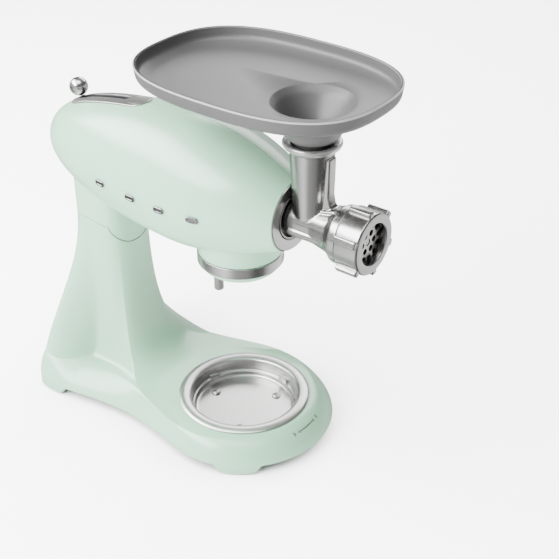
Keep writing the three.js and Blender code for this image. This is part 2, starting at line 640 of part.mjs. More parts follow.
// A bevel gear about +Z with its apex at the origin and its teeth facing the apex.
function bevelGear(teeth, mateTeeth, phase, backDepth, bore) {
  const pitch = (teeth * BEVEL.module) / 2;
  const axial = (mateTeeth * BEVEL.module) / 2;
  const length = Math.hypot(pitch, axial);
  const [nr, nz] = [axial / length, pitch / length]; // away from the blank
  const step = (2 * Math.PI) / teeth;
  const marks = [[-1.1, -0.33], [0.85, -0.13], [0.85, 0.13], [-1.1, 0.33]];
  const toothRing = (factor) => Array.from({ length: teeth }, (_, i) => marks.map(([rise, f]) => {
    const angle = phase + (i + f) * step;
    const r = (pitch + nr * rise * BEVEL.module) * factor;
    const z = (-axial + nz * rise * BEVEL.module) * factor;
    return new THREE.Vector3(r * Math.cos(angle), r * Math.sin(angle), z);
  })).flat();
  const flatRing = (r, z) => toothRing(1).map((v) => {
    const angle = Math.atan2(v.y, v.x);
    return new THREE.Vector3(r * Math.cos(angle), r * Math.sin(angle), z);
  });
  const backZ = -axial - backDepth;
  const blank = loft([
    flatRing(pitch * 0.8, backZ), toothRing(1),
    toothRing(BEVEL.inner), flatRing(pitch * 0.5, -axial * BEVEL.inner),
  ]);
  return bore ? cut(blank, rod(bore, backZ - 1, 10, 20)) : blank;
}

function makePlanetary() {
  const { bandRadius, bandTop, bandHeight, capBottom, toolRadius } = PLANET;
  const bandBottom = bandTop - bandHeight;
  const tool = (body) => body.translate(toolPlace);
  const bowl = turned([
    [0, capBottom], [20, capBottom + 0.3], [34, capBottom + 2], [42, capBottom + 6], [46, bandBottom - GAP],
    [44.2, bandBottom], [44.2, bandTop - 1], [42, bandTop - 1], [42, bandBottom], [32, capBottom + 6],
    [0, capBottom + 4],
  ], 24);
  const cap = cut(
    join(onBowl(join(bowl, rod(13, capBottom + 2, 232, 14))), tool(rod(10, capBottom + 2, 232, 14))),
    onBowl(rod(8.5, 215, 240)),
    tool(rod(toolRadius + GAP, 195, 240, 16)),
  );
  piece('planetary_cap', mint, cap);
  piece('planetary_band', steel, onBowl(ring(44.5, bandRadius, bandBottom, bandTop, 36)));
  piece('carrier_shaft', steel, onBowl(rod(8, 215.4, 279, 14)));
  const wheel = bevelGear(BEVEL.wheelTeeth, BEVEL.pinionTeeth, 0, 6, 0);
  piece('bevel_wheel', steel, wheel.translate([BOWL_X, 0, HUB_Z]));

  const pinHole = alongY(rod(1.8, -20, 20, 10)).translate([0, 0, PLANET.crossPinZ]);
  piece('tool_shaft', steel, tool(cut(turned([
    [0, PLANET.toolBottom], [toolRadius - 1, PLANET.toolBottom], [toolRadius, PLANET.toolBottom + 1],
    [toolRadius, 252], [0, 252],
  ], 20), pinHole)));
  piece('tool_cross_pin', steel, tool(alongY(rod(1.5, -8.5, 8.5, 10)).translate([0, 0, PLANET.crossPinZ])));
  const pinionPitch = (PINION_TEETH * PLANET_MODULE) / 2;
  const outline = gearOutline(PINION_TEETH, pinionPitch, {
    depth: 2 * PLANET_MODULE, phase: TOOL_ANGLE, thin: 0.37,
  });
  const pinion = cut(plate(outline, 9).translate([0, 0, 240.5]), rod(toolRadius + GAP, 230, 255));
  piece('planet_pinion', steel, tool(pinion));
}

// ---------------------------------------------------------------- front drive and motor

const squareBar = (x0, x1, half) => box(x0, x1, -half, half, HUB_Z - half, HUB_Z + half);

function makeDrive() {
  const shaft = turned([
    [0, -34], [SHAFT_RADIUS, -34], [SHAFT_RADIUS, 83], [7.6, 83], [7.6, 100], [0, 100],
  ], 20);
  piece('drive_shaft', steel, cut(onHub(shaft), squareBar(85, 110, 4.2)));

  const halfTooth = Math.PI / BEVEL.pinionTeeth;
  const bevel = bevelGear(BEVEL.pinionTeeth, BEVEL.wheelTeeth, halfTooth, 3, SHAFT_RADIUS + GAP);
  piece('bevel_pinion', steel, bevel.rotate([0, 90, 0]).translate([BOWL_X, 0, HUB_Z]));

  const [x0, x1] = DRIVE_GEAR_X;
  const driveTeeth = gearOutline(DRIVE_TEETH, (DRIVE_TEETH / 2) * DRIVE_MODULE, {
    depth: GEAR_DEPTH, phase: Math.PI, thin: 0.4,
  });
  const drive = plate(driveTeeth, x1 - x0).translate([0, 0, x0]);
  piece('drive_gear', brass, onHub(cut(drive, rod(SHAFT_RADIUS + GAP, x0 - 1, x1 + 1, 20))));

  const onMotor = (body) => alongX(body).translate([0, 0, MOTOR_Z]);
  piece('rotor_core', copper, onMotor(ring(4.4, 22.8, -106, -52, 18)));
  const motorShaft = turned([[0, -126], [4, -126], [4, -20], [2.7, -20], [2.7, -4], [0, -4]], 16);
  piece('motor_shaft', steel, onMotor(motorShaft));
  const bladeCount = 7;
  const blades = Array.from({ length: bladeCount }, (_, i) => (
    box(-1, 1, 8, 27, -122, -115).rotate([0, 0, (360 * i) / bladeCount])
  ));
  const fan = cut(join(ring(4.3, 9.5, -123, -114.6, 14), ...blades), rod(4.3, -130, -110, 14));
  piece('cooling_fan', darkPlastic, onMotor(fan));
  const motorTeeth = gearOutline(MOTOR_TEETH, (MOTOR_TEETH / 2) * DRIVE_MODULE, {
    depth: GEAR_DEPTH, phase: Math.PI / MOTOR_TEETH, thin: 0.4,
  });
  const pinion = plate(motorTeeth, x1 - x0).translate([0, 0, x0]);
  piece('motor_pinion', steel, onMotor(cut(pinion, rod(3, x0 - 1, x1 + 1, 12))));
}

// ---------------------------------------------------------------- meat grinder attachment

function makeGrinder() {
  const b = BARREL;
  const barrel = turned([
    [0, b.rear], [b.shankRadius, b.rear], [b.shankRadius, b.shoulder - 2], [b.radius, b.shoulder + 2],
    [b.radius, 152], [24.5, 172],
    [b.flangeRadius - 2, b.flangeRear - 2], [b.flangeRadius, b.flangeRear], [b.flangeRadius, b.threadRear],
    [b.threadRadius, b.threadRear], [b.threadRadius, b.end], [0, b.end],
  ], 20);
  const barrelBore = turned([
    [0, b.rear - 1], [8.6, b.rear - 1], [8.6, 102], [12.3, 102], [12.3, 110], [b.bore, 110], [b.bore, 198],
    [PLATE.radius + GAP, 198], [PLATE.radius + GAP, b.end + 1], [0, b.end + 1],
  ], 24);
  const t = THROAT;
  const throat = turned([
    [0, HUB_Z - 2], [t.lowRadius, HUB_Z - 2], [t.topRadius, t.topZ - 18], [t.topRadius + 2, t.topZ - 12.5],
    [t.lipRadius - 2.6, t.topZ - 7], [t.lipRadius - 0.4, t.topZ - 3], [t.lipRadius, t.topZ - 1.5],
    [t.lipRadius - 1, t.topZ], [0, t.topZ],
  ], 24);
  const throatBore = turned([
    [0, HUB_Z], [t.boreLow, HUB_Z], [t.boreLow + 6.4, t.topZ - 16], [t.boreLow + 6.7, t.topZ - 3.2],
    [t.lipRadius - 1.5, t.topZ], [t.lipRadius - 1.5, t.topZ + 1], [0, t.topZ + 1],
  ], 20);
  const rib = alongX(rod(5, 126, b.flangeRear + 4, 12)).translate([0, 18, HUB_Z - 6]);
  const body = cut(
    join(onHub(barrel), throat.translate([t.x, 0, 0]), rib, rib.mirror([0, 1, 0])),
    onHub(barrelBore),
    throatBore.translate([t.x, 0, 0]),
  );
  piece('grinder_body', castAluminium, body);
  piece('auger_bush', brass, onHub(ring(8.3, 12, 102.4, 109.6, 16)));

  const { start: flightStart, end: flightEnd, turns, coreRadius, flightHeight } = AUGER;
  const steps = 22;
  const around = 14;
  const rings = Array.from({ length: steps + 1 }, (_, i) => {
    const x = flightStart + ((flightEnd - flightStart) * i) / steps;
    return Array.from({ length: around }, (__, k) => {
      const angle = (2 * Math.PI * k) / around;
      const crest = 0.5 + 0.5 * Math.cos(angle - (2 * Math.PI * turns * i) / steps);
      const r = coreRadius + flightHeight * crest ** 3;
      return new THREE.Vector3(x, r * Math.cos(angle), HUB_Z + r * Math.sin(angle));
    });
  });
  const auger = join(
    loft(rings),
    onHub(rod(8, 100.5, flightStart + 1)),
    squareBar(87, 101, 3.8),
    squareBar(flightEnd - 1, 204.7, 3.9),
    onHub(rod(3.6, 204, 209.5, 12)),
  );
  piece('auger', castAluminium, auger);

  const { rear, front, armHalf, reach, hubRadius } = KNIFE;
  const upright = box(rear, front, -armHalf, armHalf, HUB_Z - reach, HUB_Z + reach);
  const level = box(rear, front, -reach, reach, HUB_Z - armHalf, HUB_Z + armHalf);
  const knife = join(upright, level, onHub(rod(hubRadius, rear, front)));
  piece('knife', steel, cut(knife, squareBar(rear - 1, front + 1.6, 4.2)));

  const holes = [rod(4, PLATE.rear - 1, PLATE.front + 1, 12)];
  for (const [count, circle] of [[6, 10], [12, 19]]) {
    for (let i = 0; i < count; i += 1) {
      const angle = (2 * Math.PI * i) / count;
      const hole = rod(PLATE.holeRadius, PLATE.rear - 1, PLATE.front + 1, 6);
      holes.push(hole.translate([circle * Math.cos(angle), circle * Math.sin(angle), 0]));
    }
  }
  piece('hole_plate', steel, onHub(cut(rod(PLATE.radius, PLATE.rear, PLATE.front, 24), ...holes)));

  const n = NUT;
  const nutRing = turned([
    [BARREL.threadRadius + GAP, n.rear], [n.radius, n.rear],
    [n.radius, n.front - 1.5], [n.radius - 1.5, n.front], [n.opening + 1, n.front],
    [n.opening, n.front - 1], [n.opening, PLATE.front + GAP],
    [BARREL.threadRadius + GAP, PLATE.front + GAP],
  ], 28, { closed: true });
  const lugs = Array.from({ length: n.lugs }, (_, i) => {
    const lug = box(n.radius - 1.5, n.lugRadius, -4, 4, n.rear + 0.5, n.front - 1);
    return lug.rotate([0, 0, 90 + n.firstLug + (360 * i) / n.lugs]);
  });
  piece('ring_nut', castAluminium, onHub(join(nutRing, ...lugs)));
}

// ---------------------------------------------------------------- feed tray

function makeTray() {
  const { x, a, b, power, rimZ, floorZ, wall } = TRAY;
  const oval = (z, inset) => ovalRing(x, a - inset, b - inset, power, z, 36);
  const pan = loft([oval(431, 24), oval(433, 10), oval(438, 1.5), oval(rimZ - 1, 0), oval(rimZ, 0.8)]);
  const inside = loft([
    oval(floorZ + 0.5, 26), oval(floorZ + 2, 12), oval(439, wall + 1.5), oval(rimZ + 1, wall),
  ]);
  const funnel = turned([
    [0, 372], [19.3, 372], [20.2, 399], [24, 400.5], [29, 404.5], [33, 411], [38, 421], [44, 433], [0, 433],
  ], 24);
  const funnelBore = turned([
    [0, 370], [17.2, 370], [17.8, 400], [27, 414], [36, 428], [42, 437], [0, 437],
  ], 20);
  const tray = cut(
    join(pan, funnel.translate([THROAT.x, 0, 0])),
    inside,
    funnelBore.translate([THROAT.x, 0, 0]),
  );
  piece('feed_tray', greyPlastic, tray);
}

makeStand();
makeRelease();
makeHead();
makeLever();
makePlanetary();
makeDrive();
makeGrinder();
makeTray();

machine.name = 'kitchen_machine_with_meat_grinder';
export default machine;
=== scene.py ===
import json
import math

import bmesh
import bpy
import numpy as np
from mathutils import Matrix, Vector


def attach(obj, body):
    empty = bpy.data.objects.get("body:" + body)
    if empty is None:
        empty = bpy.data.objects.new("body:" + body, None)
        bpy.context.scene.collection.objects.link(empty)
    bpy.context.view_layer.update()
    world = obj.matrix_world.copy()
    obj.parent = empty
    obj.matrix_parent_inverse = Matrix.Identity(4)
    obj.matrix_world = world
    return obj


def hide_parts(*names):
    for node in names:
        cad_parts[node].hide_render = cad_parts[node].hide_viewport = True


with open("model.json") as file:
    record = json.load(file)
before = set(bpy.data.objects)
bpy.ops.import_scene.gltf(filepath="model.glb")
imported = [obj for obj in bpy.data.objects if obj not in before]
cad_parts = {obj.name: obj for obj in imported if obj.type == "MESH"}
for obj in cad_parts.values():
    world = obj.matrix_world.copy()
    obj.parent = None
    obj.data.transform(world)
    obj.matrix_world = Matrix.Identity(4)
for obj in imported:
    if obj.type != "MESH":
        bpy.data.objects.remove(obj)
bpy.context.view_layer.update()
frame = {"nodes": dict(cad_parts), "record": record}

MM = 0.001
PI = math.pi
TAU = 2 * math.pi

# ------------------------------------------------------------------ camera

CAMERA_PLACE = Vector((738.4, -841.5, 889.5)) * MM
HEADING, PITCH, ROLL = math.radians(37.18), math.radians(32.56), math.radians(-0.19)


def make_camera():
    data = bpy.data.cameras.new("photo_camera")
    data.sensor_width = 36
    data.lens = 74.88
    data.clip_end = 20
    camera = bpy.data.objects.new("photo_camera", data)
    back = Vector((math.sin(HEADING) * math.cos(PITCH), -math.cos(HEADING) * math.cos(PITCH),
                   math.sin(PITCH)))
    right = Vector((math.cos(HEADING), math.sin(HEADING), 0))
    up = back.cross(right)
    turn = Matrix((right, up, back)).transposed()
    camera.matrix_world = Matrix.Translation(CAMERA_PLACE) @ turn.to_4x4() @ Matrix.Rotation(ROLL, 4, "Z")
    bpy.context.scene.collection.objects.link(camera)
    bpy.context.scene.camera = camera


make_camera()

# ------------------------------------------------------------------ dimensions, mm

BOWL_X, HUB_Z = 47, 300.8
TAIL, WIDEST, NOSE = -221, -3, 120
HEAD_R, NOSE_R, HEAD_AXIS_Z, TAIL_RISE = 74.4, 40.8, 304.6, 3.8
NECK_X, NECK_A, NECK_B, NECK_TOP = -148.5, 37, 35.5, 222
PIVOT_X, PIVOT_Z = -170, 211
PIN_R, PIN_HALF, PIN_ROOM = 5, 29, 0.5
SHELL_WALL, GAP = 3, 0.3
BUTTON_Z, INLET_Y, INLET_Z = 158, 55, 28
LOBE_R, HALF_WIDTH, REAR_X, CORNER_R = 105, 105, -204, 22
WAIST_X, WAIST_Y, DECK_Z, SLOPE_END_Z, ARCH_Z, FOOT_Z = -50, 90, 37, 48, 12, 2
BEVEL_LOBE, BEVEL_WAIST, FLARE_REACH = 27, 38, 70
LOBE_FULLNESS, SIDE_FULLNESS = 1.5, 2.0
THROAT_X, LIP_Z = 141.2, 394
TRAY_X, TRAY_A, TRAY_B, TRAY_POWER = 84.5, 136.5, 97.1, 2.7
TOOL_X, TOOL_Y = 20.99, -7.95

# ------------------------------------------------------------------ mesh helpers


def lerp(a, b, t):
    return a + (b - a) * t


def smoothstep(x, low, high):
    t = np.clip((x - low) / (high - low), 0, 1)
    return t * t * (3 - 2 * t)


def bezier(p, t):
    p = np.asarray(p, float)
    t = np.asarray(t, float)[:, None]
    return (1 - t) ** 3 * p[0] + 3 * t * (1 - t) ** 2 * p[1] + 3 * t * t * (1 - t) * p[2] + t ** 3 * p[3]


def superellipse(a, b, power, angle):
    c, s = np.cos(angle), np.sin(angle)
    k = (np.abs(c / a) ** power + np.abs(s / b) ** power) ** (-1 / power)
    return k * c, k * s


def build(name, points, faces):
    """A mesh object from points in mm."""
    mesh = bpy.data.meshes.new(name)
    mesh.from_pydata((np.asarray(points, float) * MM).tolist(), [], faces)
    bm = bmesh.new()
    bm.from_mesh(mesh)
    bmesh.ops.remove_doubles(bm, verts=bm.verts, dist=1e-6)
    bmesh.ops.recalc_face_normals(bm, faces=bm.faces)
    bm.to_mesh(mesh)
    bm.free()
    obj = bpy.data.objects.new(name, mesh)
    bpy.context.scene.collection.objects.link(obj)
    return obj


def loft(name, rings, closed_tube=False):
    """Skin over matching rings. Its ends are capped, or joined to each other for a closed tube."""
    rings = np.asarray(rings, float)
    rows, count = rings.shape[:2]
    faces = []
    for r in range(rows if closed_tube else rows - 1):
        s = (r + 1) % rows
        for i in range(count):
            j = (i + 1) % count
            faces.append((r * count + i, r * count + j, s * count + j, s * count + i))
    if not closed_tube:
        faces.append(tuple(range(count)))
        faces.append(tuple(range((rows - 1) * count, rows * count)))
    return build(name, rings.reshape(-1, 3), faces)


def fillet(profile, radius, steps=5, closed=False):
    """The same polyline with its corners rounded."""
    p = [np.asarray(q, float) for q in profile]
    n = len(p)
    out = []
    for i in range(n):
        if not closed and i in (0, n - 1):
            out.append(p[i])
            continue
        a, b, c = p[i - 1], p[i], p[(i + 1) % n]
        into, away = a - b, c - b
        la, lc = np.linalg.norm(into), np.linalg.norm(away)
        size = min(radius, 0.45 * la, 0.45 * lc)
        p0, p2 = b + into / la * size, b + away / lc * size
        for k in range(steps + 1):
            t = k / steps
            out.append((1 - t) ** 2 * p0 + 2 * t * (1 - t) * b + t * t * p2)
    return out


def lathe(name, profile, segments=96, ring=False, axis="Z", centre=(0, 0, 0), roundness=0.0):
    """A body of revolution from (radius, height) points; a full body starts and ends on the axis."""
    points = fillet(profile, roundness, closed=ring) if roundness else profile
    angles = np.arange(segments) * TAU / segments
    rings = []
    for radius, height in points:
        r = max(radius, 1e-4)
        rings.append(np.stack([r * np.cos(angles), r * np.sin(angles), np.full(segments, height)], 1))
    rings = np.array(rings)
    if axis == "X":
        rings = rings[:, :, [2, 0, 1]]
    elif axis == "Y":
        rings = rings[:, :, [1, 2, 0]]
    return loft(name, rings + np.array(centre, float), closed_tube=ring)


def prism(name, outline, low, high, axis="Z"):
    """An outline pushed along an axis: (x, y) along Z, (x, z) along Y, (y, z) along X."""
    rings = np.array([[(u, v, w) for u, v in outline] for w in (low, high)], float)
    order = {"Z": [0, 1, 2], "Y": [0, 2, 1], "X": [2, 0, 1]}[axis]
    return loft(name, rings[:, :, order])


def block(name, low, high):
    (x0, y0, z0), (x1, y1, z1) = low, high
    return prism(name, [(x0, y0), (x1, y0), (x1, y1), (x0, y1)], z0, z1)


def modify(obj, kind, **settings):
    """Adds one modifier and applies it at once."""
    modifier = obj.modifiers.new(kind.lower(), kind)
    for key, value in settings.items():
        setattr(modifier, key, value)
    bpy.context.view_layer.update()
    graph = bpy.context.evaluated_depsgraph_get()
    mesh = bpy.data.meshes.new_from_object(obj.evaluated_get(graph))
    old = obj.data
    obj.modifiers.clear()
    obj.data = mesh
    bpy.data.meshes.remove(old)
    return obj


def discard(*objects):
    for o in objects:
        mesh = o.data
        bpy.data.objects.remove(o)
        bpy.data.meshes.remove(mesh)


def combine(obj, operation, *tools):
    """Cuts, joins or trims a mesh with tools, and discards them."""
    for tool in tools:
        modify(obj, "BOOLEAN", operation=operation, object=tool, solver="MANIFOLD")
        discard(tool)
    return obj


def cut(obj, *tools):
    return combine(obj, "DIFFERENCE", *tools)


def join(obj, *tools):
    return combine(obj, "UNION", *tools)


def copy_of(obj, name):
    twin = bpy.data.objects.new(name, obj.data.copy())
    bpy.context.scene.collection.objects.link(twin)
    return twin


def round_edges(obj, width, segments=3, angle=35):
    modify(obj, "BEVEL", width=width * MM, segments=segments, limit_method="ANGLE",
           angle_limit=math.radians(angle), harden_normals=False)
    return obj


def merged(name, parts):
    """Several separate bodies as one object."""
    bm = bmesh.new()
    for part in parts:
        bm.from_mesh(part.data)
    mesh = bpy.data.meshes.new(name)
    bm.to_mesh(mesh)
    bm.free()
    discard(*parts)
    obj = bpy.data.objects.new(name, mesh)
    bpy.context.scene.collection.objects.link(obj)
    return obj


def turned_about(obj, axis, degrees, point):
    place = Matrix.Translation(Vector(point) * MM)
    obj.data.transform(place @ Matrix.Rotation(math.radians(degrees), 4, axis) @ place.inverted())
    return obj


def piece(obj, name, body, material, slot, *nodes, sharp=32):
    """Names a finished mesh, shades it, and puts it on its body in place of its CAD nodes."""
    obj.name = name
    obj.data.name = name
    obj.data.materials.clear()
    obj.data.materials.append(material)
    obj.data.polygons.foreach_set("use_smooth", [True] * len(obj.data.polygons))
    obj.data.set_sharp_from_angle(angle=math.radians(sharp))
    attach(obj, body)
    if nodes:
        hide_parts(*nodes)
    return obj


# ------------------------------------------------------------------ materials


def surface(name, color, rough, metal=0.0, tint=0.03, bump=0.02, grain=900.0, smear=0.05, coat=0.0,
            stretch=(1, 1, 1), specular=0.5, coat_rough=0.06):
    """A finish with its own fine grain, soft blotches of tone and roughness, and slightly rubbed edges."""
    material = bpy.data.materials.new(name)
    material.use_nodes = True
    nodes, links = material.node_tree.nodes, material.node_tree.links
    shader = nodes["Principled BSDF"]
    shader.inputs["Metallic"].default_value = metal
    shader.inputs["Coat Weight"].default_value = coat
    shader.inputs["Coat Roughness"].default_value = coat_rough
    shader.inputs["Specular IOR Level"].default_value = specular
    place = nodes.new("ShaderNodeTexCoord")
    mapping = nodes.new("ShaderNodeMapping")
    mapping.inputs["Scale"].default_value = stretch
    links.new(place.outputs["Object"], mapping.inputs["Vector"])

    def noise(scale, detail):
        node = nodes.new("ShaderNodeTexNoise")
        node.inputs["Scale"].default_value = scale
        node.inputs["Detail"].default_value = detail
        links.new(mapping.outputs["Vector"], node.inputs["Vector"])
        return node.outputs["Fac"]

    blotch, fine = noise(14, 3), noise(grain, 4)
    tone = nodes.new("ShaderNodeMixRGB")
    tone.inputs["Color1"].default_value = (*[c * (1 - tint) for c in color], 1)
    tone.inputs["Color2"].default_value = (*[min(c * (1 + tint), 1) for c in color], 1)
    links.new(blotch, tone.inputs["Fac"])
    edge = nodes.new("ShaderNodeNewGeometry")
    worn = nodes.new("ShaderNodeMapRange")
    worn.inputs["From Min"].default_value = 0.56
    worn.inputs["From Max"].default_value = 0.72
    worn.inputs["To Max"].default_value = 0.25
    links.new(edge.outputs["Pointiness"], worn.inputs["Value"])
    rubbed = nodes.new("ShaderNodeMixRGB")
    rubbed.inputs["Color2"].default_value = (*[lerp(c, 0.9, 0.5) for c in color], 1)
    links.new(worn.outputs["Result"], rubbed.inputs["Fac"])
    links.new(tone.outputs["Color"], rubbed.inputs["Color1"])
    links.new(rubbed.outputs["Color"], shader.inputs["Base Color"])

    spread = nodes.new("ShaderNodeMapRange")
    spread.inputs["To Min"].default_value = max(rough - smear, 0.02)
    spread.inputs["To Max"].default_value = rough + smear
    links.new(fine, spread.inputs["Value"])
    links.new(spread.outputs["Result"], shader.inputs["Roughness"])

    relief = nodes.new("ShaderNodeBump")
    relief.inputs["Strength"].default_value = bump
    relief.inputs["Distance"].default_value = 0.0005
    links.new(fine, relief.inputs["Height"])
    links.new(relief.outputs["Normal"], shader.inputs["Normal"])
    return material


MINT = surface("mint_enamel", (0.215, 0.41, 0.27), 0.34, tint=0.012, bump=0.02, grain=450, smear=0.03,
               coat=0.6, coat_rough=0.2)
POLISHED = surface("polished_steel", (0.42, 0.415, 0.41), 0.2, metal=1, tint=0.03, bump=0.02, grain=700,
                   smear=0.04)
SATIN = surface("satin_steel", (0.36, 0.355, 0.35), 0.36, metal=1, tint=0.02, bump=0.012, grain=500,
                smear=0.03)
SEAT_STEEL = surface("spun_seat_steel", (0.47, 0.465, 0.46), 0.3, metal=1, tint=0.02, bump=0.015, grain=420,
                     smear=0.03)
BRUSHED = surface("brushed_steel", (0.40, 0.395, 0.39), 0.26, metal=1, tint=0.04, bump=0.05, grain=300,
                  smear=0.08, stretch=(1, 14, 1))
MACHINED = surface("machined_steel", (0.35, 0.35, 0.35), 0.3, metal=1, tint=0.06, bump=0.08, grain=500,
                   smear=0.08)
CAST = surface("polished_casting", (0.36, 0.355, 0.35), 0.24, metal=1, tint=0.03, bump=0.01, grain=500,
               smear=0.02)
CHROME = surface("bright_chrome", (0.55, 0.55, 0.56), 0.06, metal=1, tint=0.02, bump=0.01, grain=600,
                 smear=0.02)
# Painted shade: the badge letters are a much darker copy of the bright chrome, standing in for the dark they
# reflect.
BADGE_SHADED_CHROME = surface("badge_chrome_painted_shade", (0.20, 0.20, 0.20), 0.16, metal=1, tint=0.03, bump=0.02, grain=600, smear=0.03)
TRAY = surface("satin_grey_tray", (0.05, 0.0495, 0.0495), 0.42, tint=0.03, bump=0.12, grain=1400,
               smear=0.07, specular=0.4)
# Painted highlight: the throat's rolled rim is a much lighter copy of the grinder's cast metal, standing in
# for the light along its edge.
RIM_PAINTED_HIGHLIGHT = surface("rolled_rim_painted_highlight", (0.66, 0.655, 0.65), 0.33, metal=1, tint=0.02, bump=0.01, grain=500,
              smear=0.03)
TRAY_EDGE = surface("tray_rim_highlight", (0.2, 0.197, 0.194), 0.35, tint=0.03, bump=0.08, grain=1400,
                    smear=0.06)
DARK = surface("dark_plastic", (0.012, 0.013, 0.014), 0.5, tint=0.1, bump=0.2, grain=1600, smear=0.1)
RUBBER = surface("black_rubber", (0.02, 0.02, 0.02), 0.75, tint=0.15, bump=0.3, grain=1200, smear=0.1,
                 specular=0.3)
BRASS = surface("bearing_brass", (0.60, 0.44, 0.16), 0.3, metal=1, tint=0.08, bump=0.06, grain=500,
                smear=0.08)
COPPER = surface("enamelled_winding", (0.50, 0.20, 0.08), 0.34, metal=1, tint=0.12, bump=0.4, grain=260,
                 smear=0.08, stretch=(6, 1, 1))
BOARD = surface("lacquered_board", (0.02, 0.12, 0.05), 0.35, tint=0.15, bump=0.2, grain=300, smear=0.1)
INK = surface("printed_mark", (0.02, 0.022, 0.022), 0.5, tint=0.08, bump=0.05, grain=1500, smear=0.08)

# ------------------------------------------------------------------ head


def head_radius(x):
    u = np.clip((WIDEST - x) / (WIDEST - TAIL), 0, 1)
    v = np.clip((x - WIDEST) / (NOSE - WIDEST), 0, 1)
    rear = HEAD_R * np.maximum(1 - u ** 1.7, 0) ** (1 / 2.55)
    return np.where(x < WIDEST, rear, HEAD_R - (HEAD_R - NOSE_R) * v ** 1.9)


def head_centre(x):
    u = np.clip((WIDEST - x) / (WIDEST - TAIL), 0, 1)
    v = np.clip((x - WIDEST) / (NOSE - WIDEST), 0, 1)
    return np.where(x < WIDEST, HEAD_AXIS_Z + TAIL_RISE * u * u, HEAD_AXIS_Z - (HEAD_AXIS_Z - HUB_Z) * v ** 3)


def head_form(name, offset, rings=110, count=180, end=0.0):
    tail, front = TAIL - offset, NOSE + end
    angles = (np.arange(count) + 0.5) * TAU / count
    sine = np.sin(angles)
    rise = sine + 1.4 * np.maximum(-sine - 0.7, 0) ** 2
    rows = []
    for r in range(rings + 1):
        share = (1 - math.cos(PI * r / rings * 0.62)) / (1 - math.cos(PI * 0.62))
        x = tail + (front - tail) * share
        along = TAIL + (NOSE - TAIL) * share
        radius = max(float(head_radius(along)) + offset, 0.4)
        rows.append(np.stack([np.full(count, x), radius * np.cos(angles),
                              head_centre(along) + radius * rise], 1))
    return loft(name, rows)


def neck_ring(z, scale=1.0, grow=0.0, count=120):
    dx, dy = superellipse(NECK_A * scale + grow, NECK_B * scale + grow, 3, np.arange(count) * TAU / count)
    return np.stack([NECK_X + dx, dy, np.full(count, z)], 1)


def bracket_zone(name, gap):
    """The room of the tilting bracket: all above a line that drops in a round tongue at the front."""
    rear_open = math.tan(math.radians(40))
    rear = [(-260, PIVOT_Z - gap + (0 if gap > 0 else 90 * rear_open)),
            (PIVOT_X - (0 if gap > 0 else 0.3), PIVOT_Z - gap)]
    side = prism(name, rear + [
        (PIVOT_X, NECK_TOP - gap), (-150, NECK_TOP - gap), (-103, 213 - gap), (-40, 213 - gap), (-40, 330),
        (-260, 330),
    ], -60, 60, "Y")
    share = np.sin(np.linspace(-PI / 2, PI / 2, 41))
    drop = [((31 + gap) * s, 216 - gap - 24 * math.sqrt(1 - s * s) ** 1.05) for s in share]
    tongue = prism("tongue", [(-31 - gap, 230)] + drop + [(31 + gap, 230)], -128 - 4 * gap, -60, "X")
    return join(side, tongue)


def knuckle(name, gap):
    w, r = 26 + gap, 17.5 + gap
    profile = [(0, -w), (r - 5, -w), (r - 1, -18), (r, -8), (r, 8), (r - 1, 18), (r - 5, w), (0, w)]
    return lathe(name, profile, 64, axis="Y", centre=(PIVOT_X, 0, PIVOT_Z), roundness=4)


def make_head():
    groove = cut(block("groove", (-300, -0.65, 250), (118, 0.65, 420)),
                 head_form("inner_line", -0.7, 60, 120))
    shell = cut(
        head_form("shell", 0),
        head_form("hollow", -SHELL_WALL, 60, 90, end=-SHELL_WALL),
        block("slot", (-185, -3.6, 320), (-108, 3.6, 400)),
        loft("plug_hole", [neck_ring(200, 0.8, GAP), neck_ring(300, 0.8, GAP)]),
        lathe("skirt_hole", [(0, 200), (46.8, 200), (46.8, 300), (0, 300)], centre=(BOWL_X, 0, 0)),
        lathe("hub_hole", [(0, 100), (39.1, 100), (39.1, 130), (0, 130)], axis="X", centre=(0, 0, HUB_Z)),
        groove,
    )
    for side, low, high in (("left", 0.15, 200), ("right", -200, -0.15)):
        half = copy_of(shell, "half")
        combine(half, "INTERSECT", block("half_space", (-300, low, 0), (300, high, 600)))
        piece(half, f"head_casing_{side}", "head", MINT, "mint_paint", f"head_shell_{side}")
    discard(shell)

    bracket = loft("bracket", [neck_ring(185), neck_ring(300)])
    combine(bracket, "INTERSECT", bracket_zone("zone", 0))
    cut(bracket, head_form("head_room", 0.15, 80, 140))
    join(
        bracket,
        loft("plug", [neck_ring(226, 0.8), neck_ring(266, 0.8)]),
        knuckle("knuckle", 0),
        block("striker", (-136, -8, 188), (-133, 8, 224)),
        block("striker_lip", (-143, -8, 188), (-133, 8, 192)),
    )
    cut(bracket, lathe("pin_bore", [(0, -40), (8.3, -40), (8.3, 40), (0, 40)], 48, axis="Y",
                       centre=(PIVOT_X, 0, PIVOT_Z)))
    piece(bracket, "neck_bracket_fine", "head", MINT, "mint_paint", "neck_bracket")


def capsule(x, z, length, width, steps=14):
    """Points round a slot shape, with its straights divided too, so that it bends with what it lies on."""
    straight = (length - width) / 2
    half = width / 2
    out = []
    for side in (1, -1):
        for i in range(steps + 1):
            angle = -PI / 2 + PI * i / steps
            out.append((x + side * (straight + half * math.cos(angle)), z + side * half * math.sin(angle)))
        for i in range(1, 16):
            out.append((x + side * straight * (1 - 2 * i / 16), z + side * half))
    return np.array(out)


def on_top(flat, height):
    """Points on the head's top, at a height off its skin."""
    x, y = flat[:, 0], flat[:, 1]
    radius = head_radius(x) + height
    return np.stack([x, y, head_centre(x) + np.sqrt(np.maximum(radius ** 2 - y ** 2, 0))], 1)


def on_side(flat, height):
    """Points on the head's right side, at a height off its skin."""
    x, z = flat[:, 0], flat[:, 1]
    radius = head_radius(x) + height
    return np.stack([x, -np.sqrt(np.maximum(radius ** 2 - (z - head_centre(x)) ** 2, 0)), z], 1)


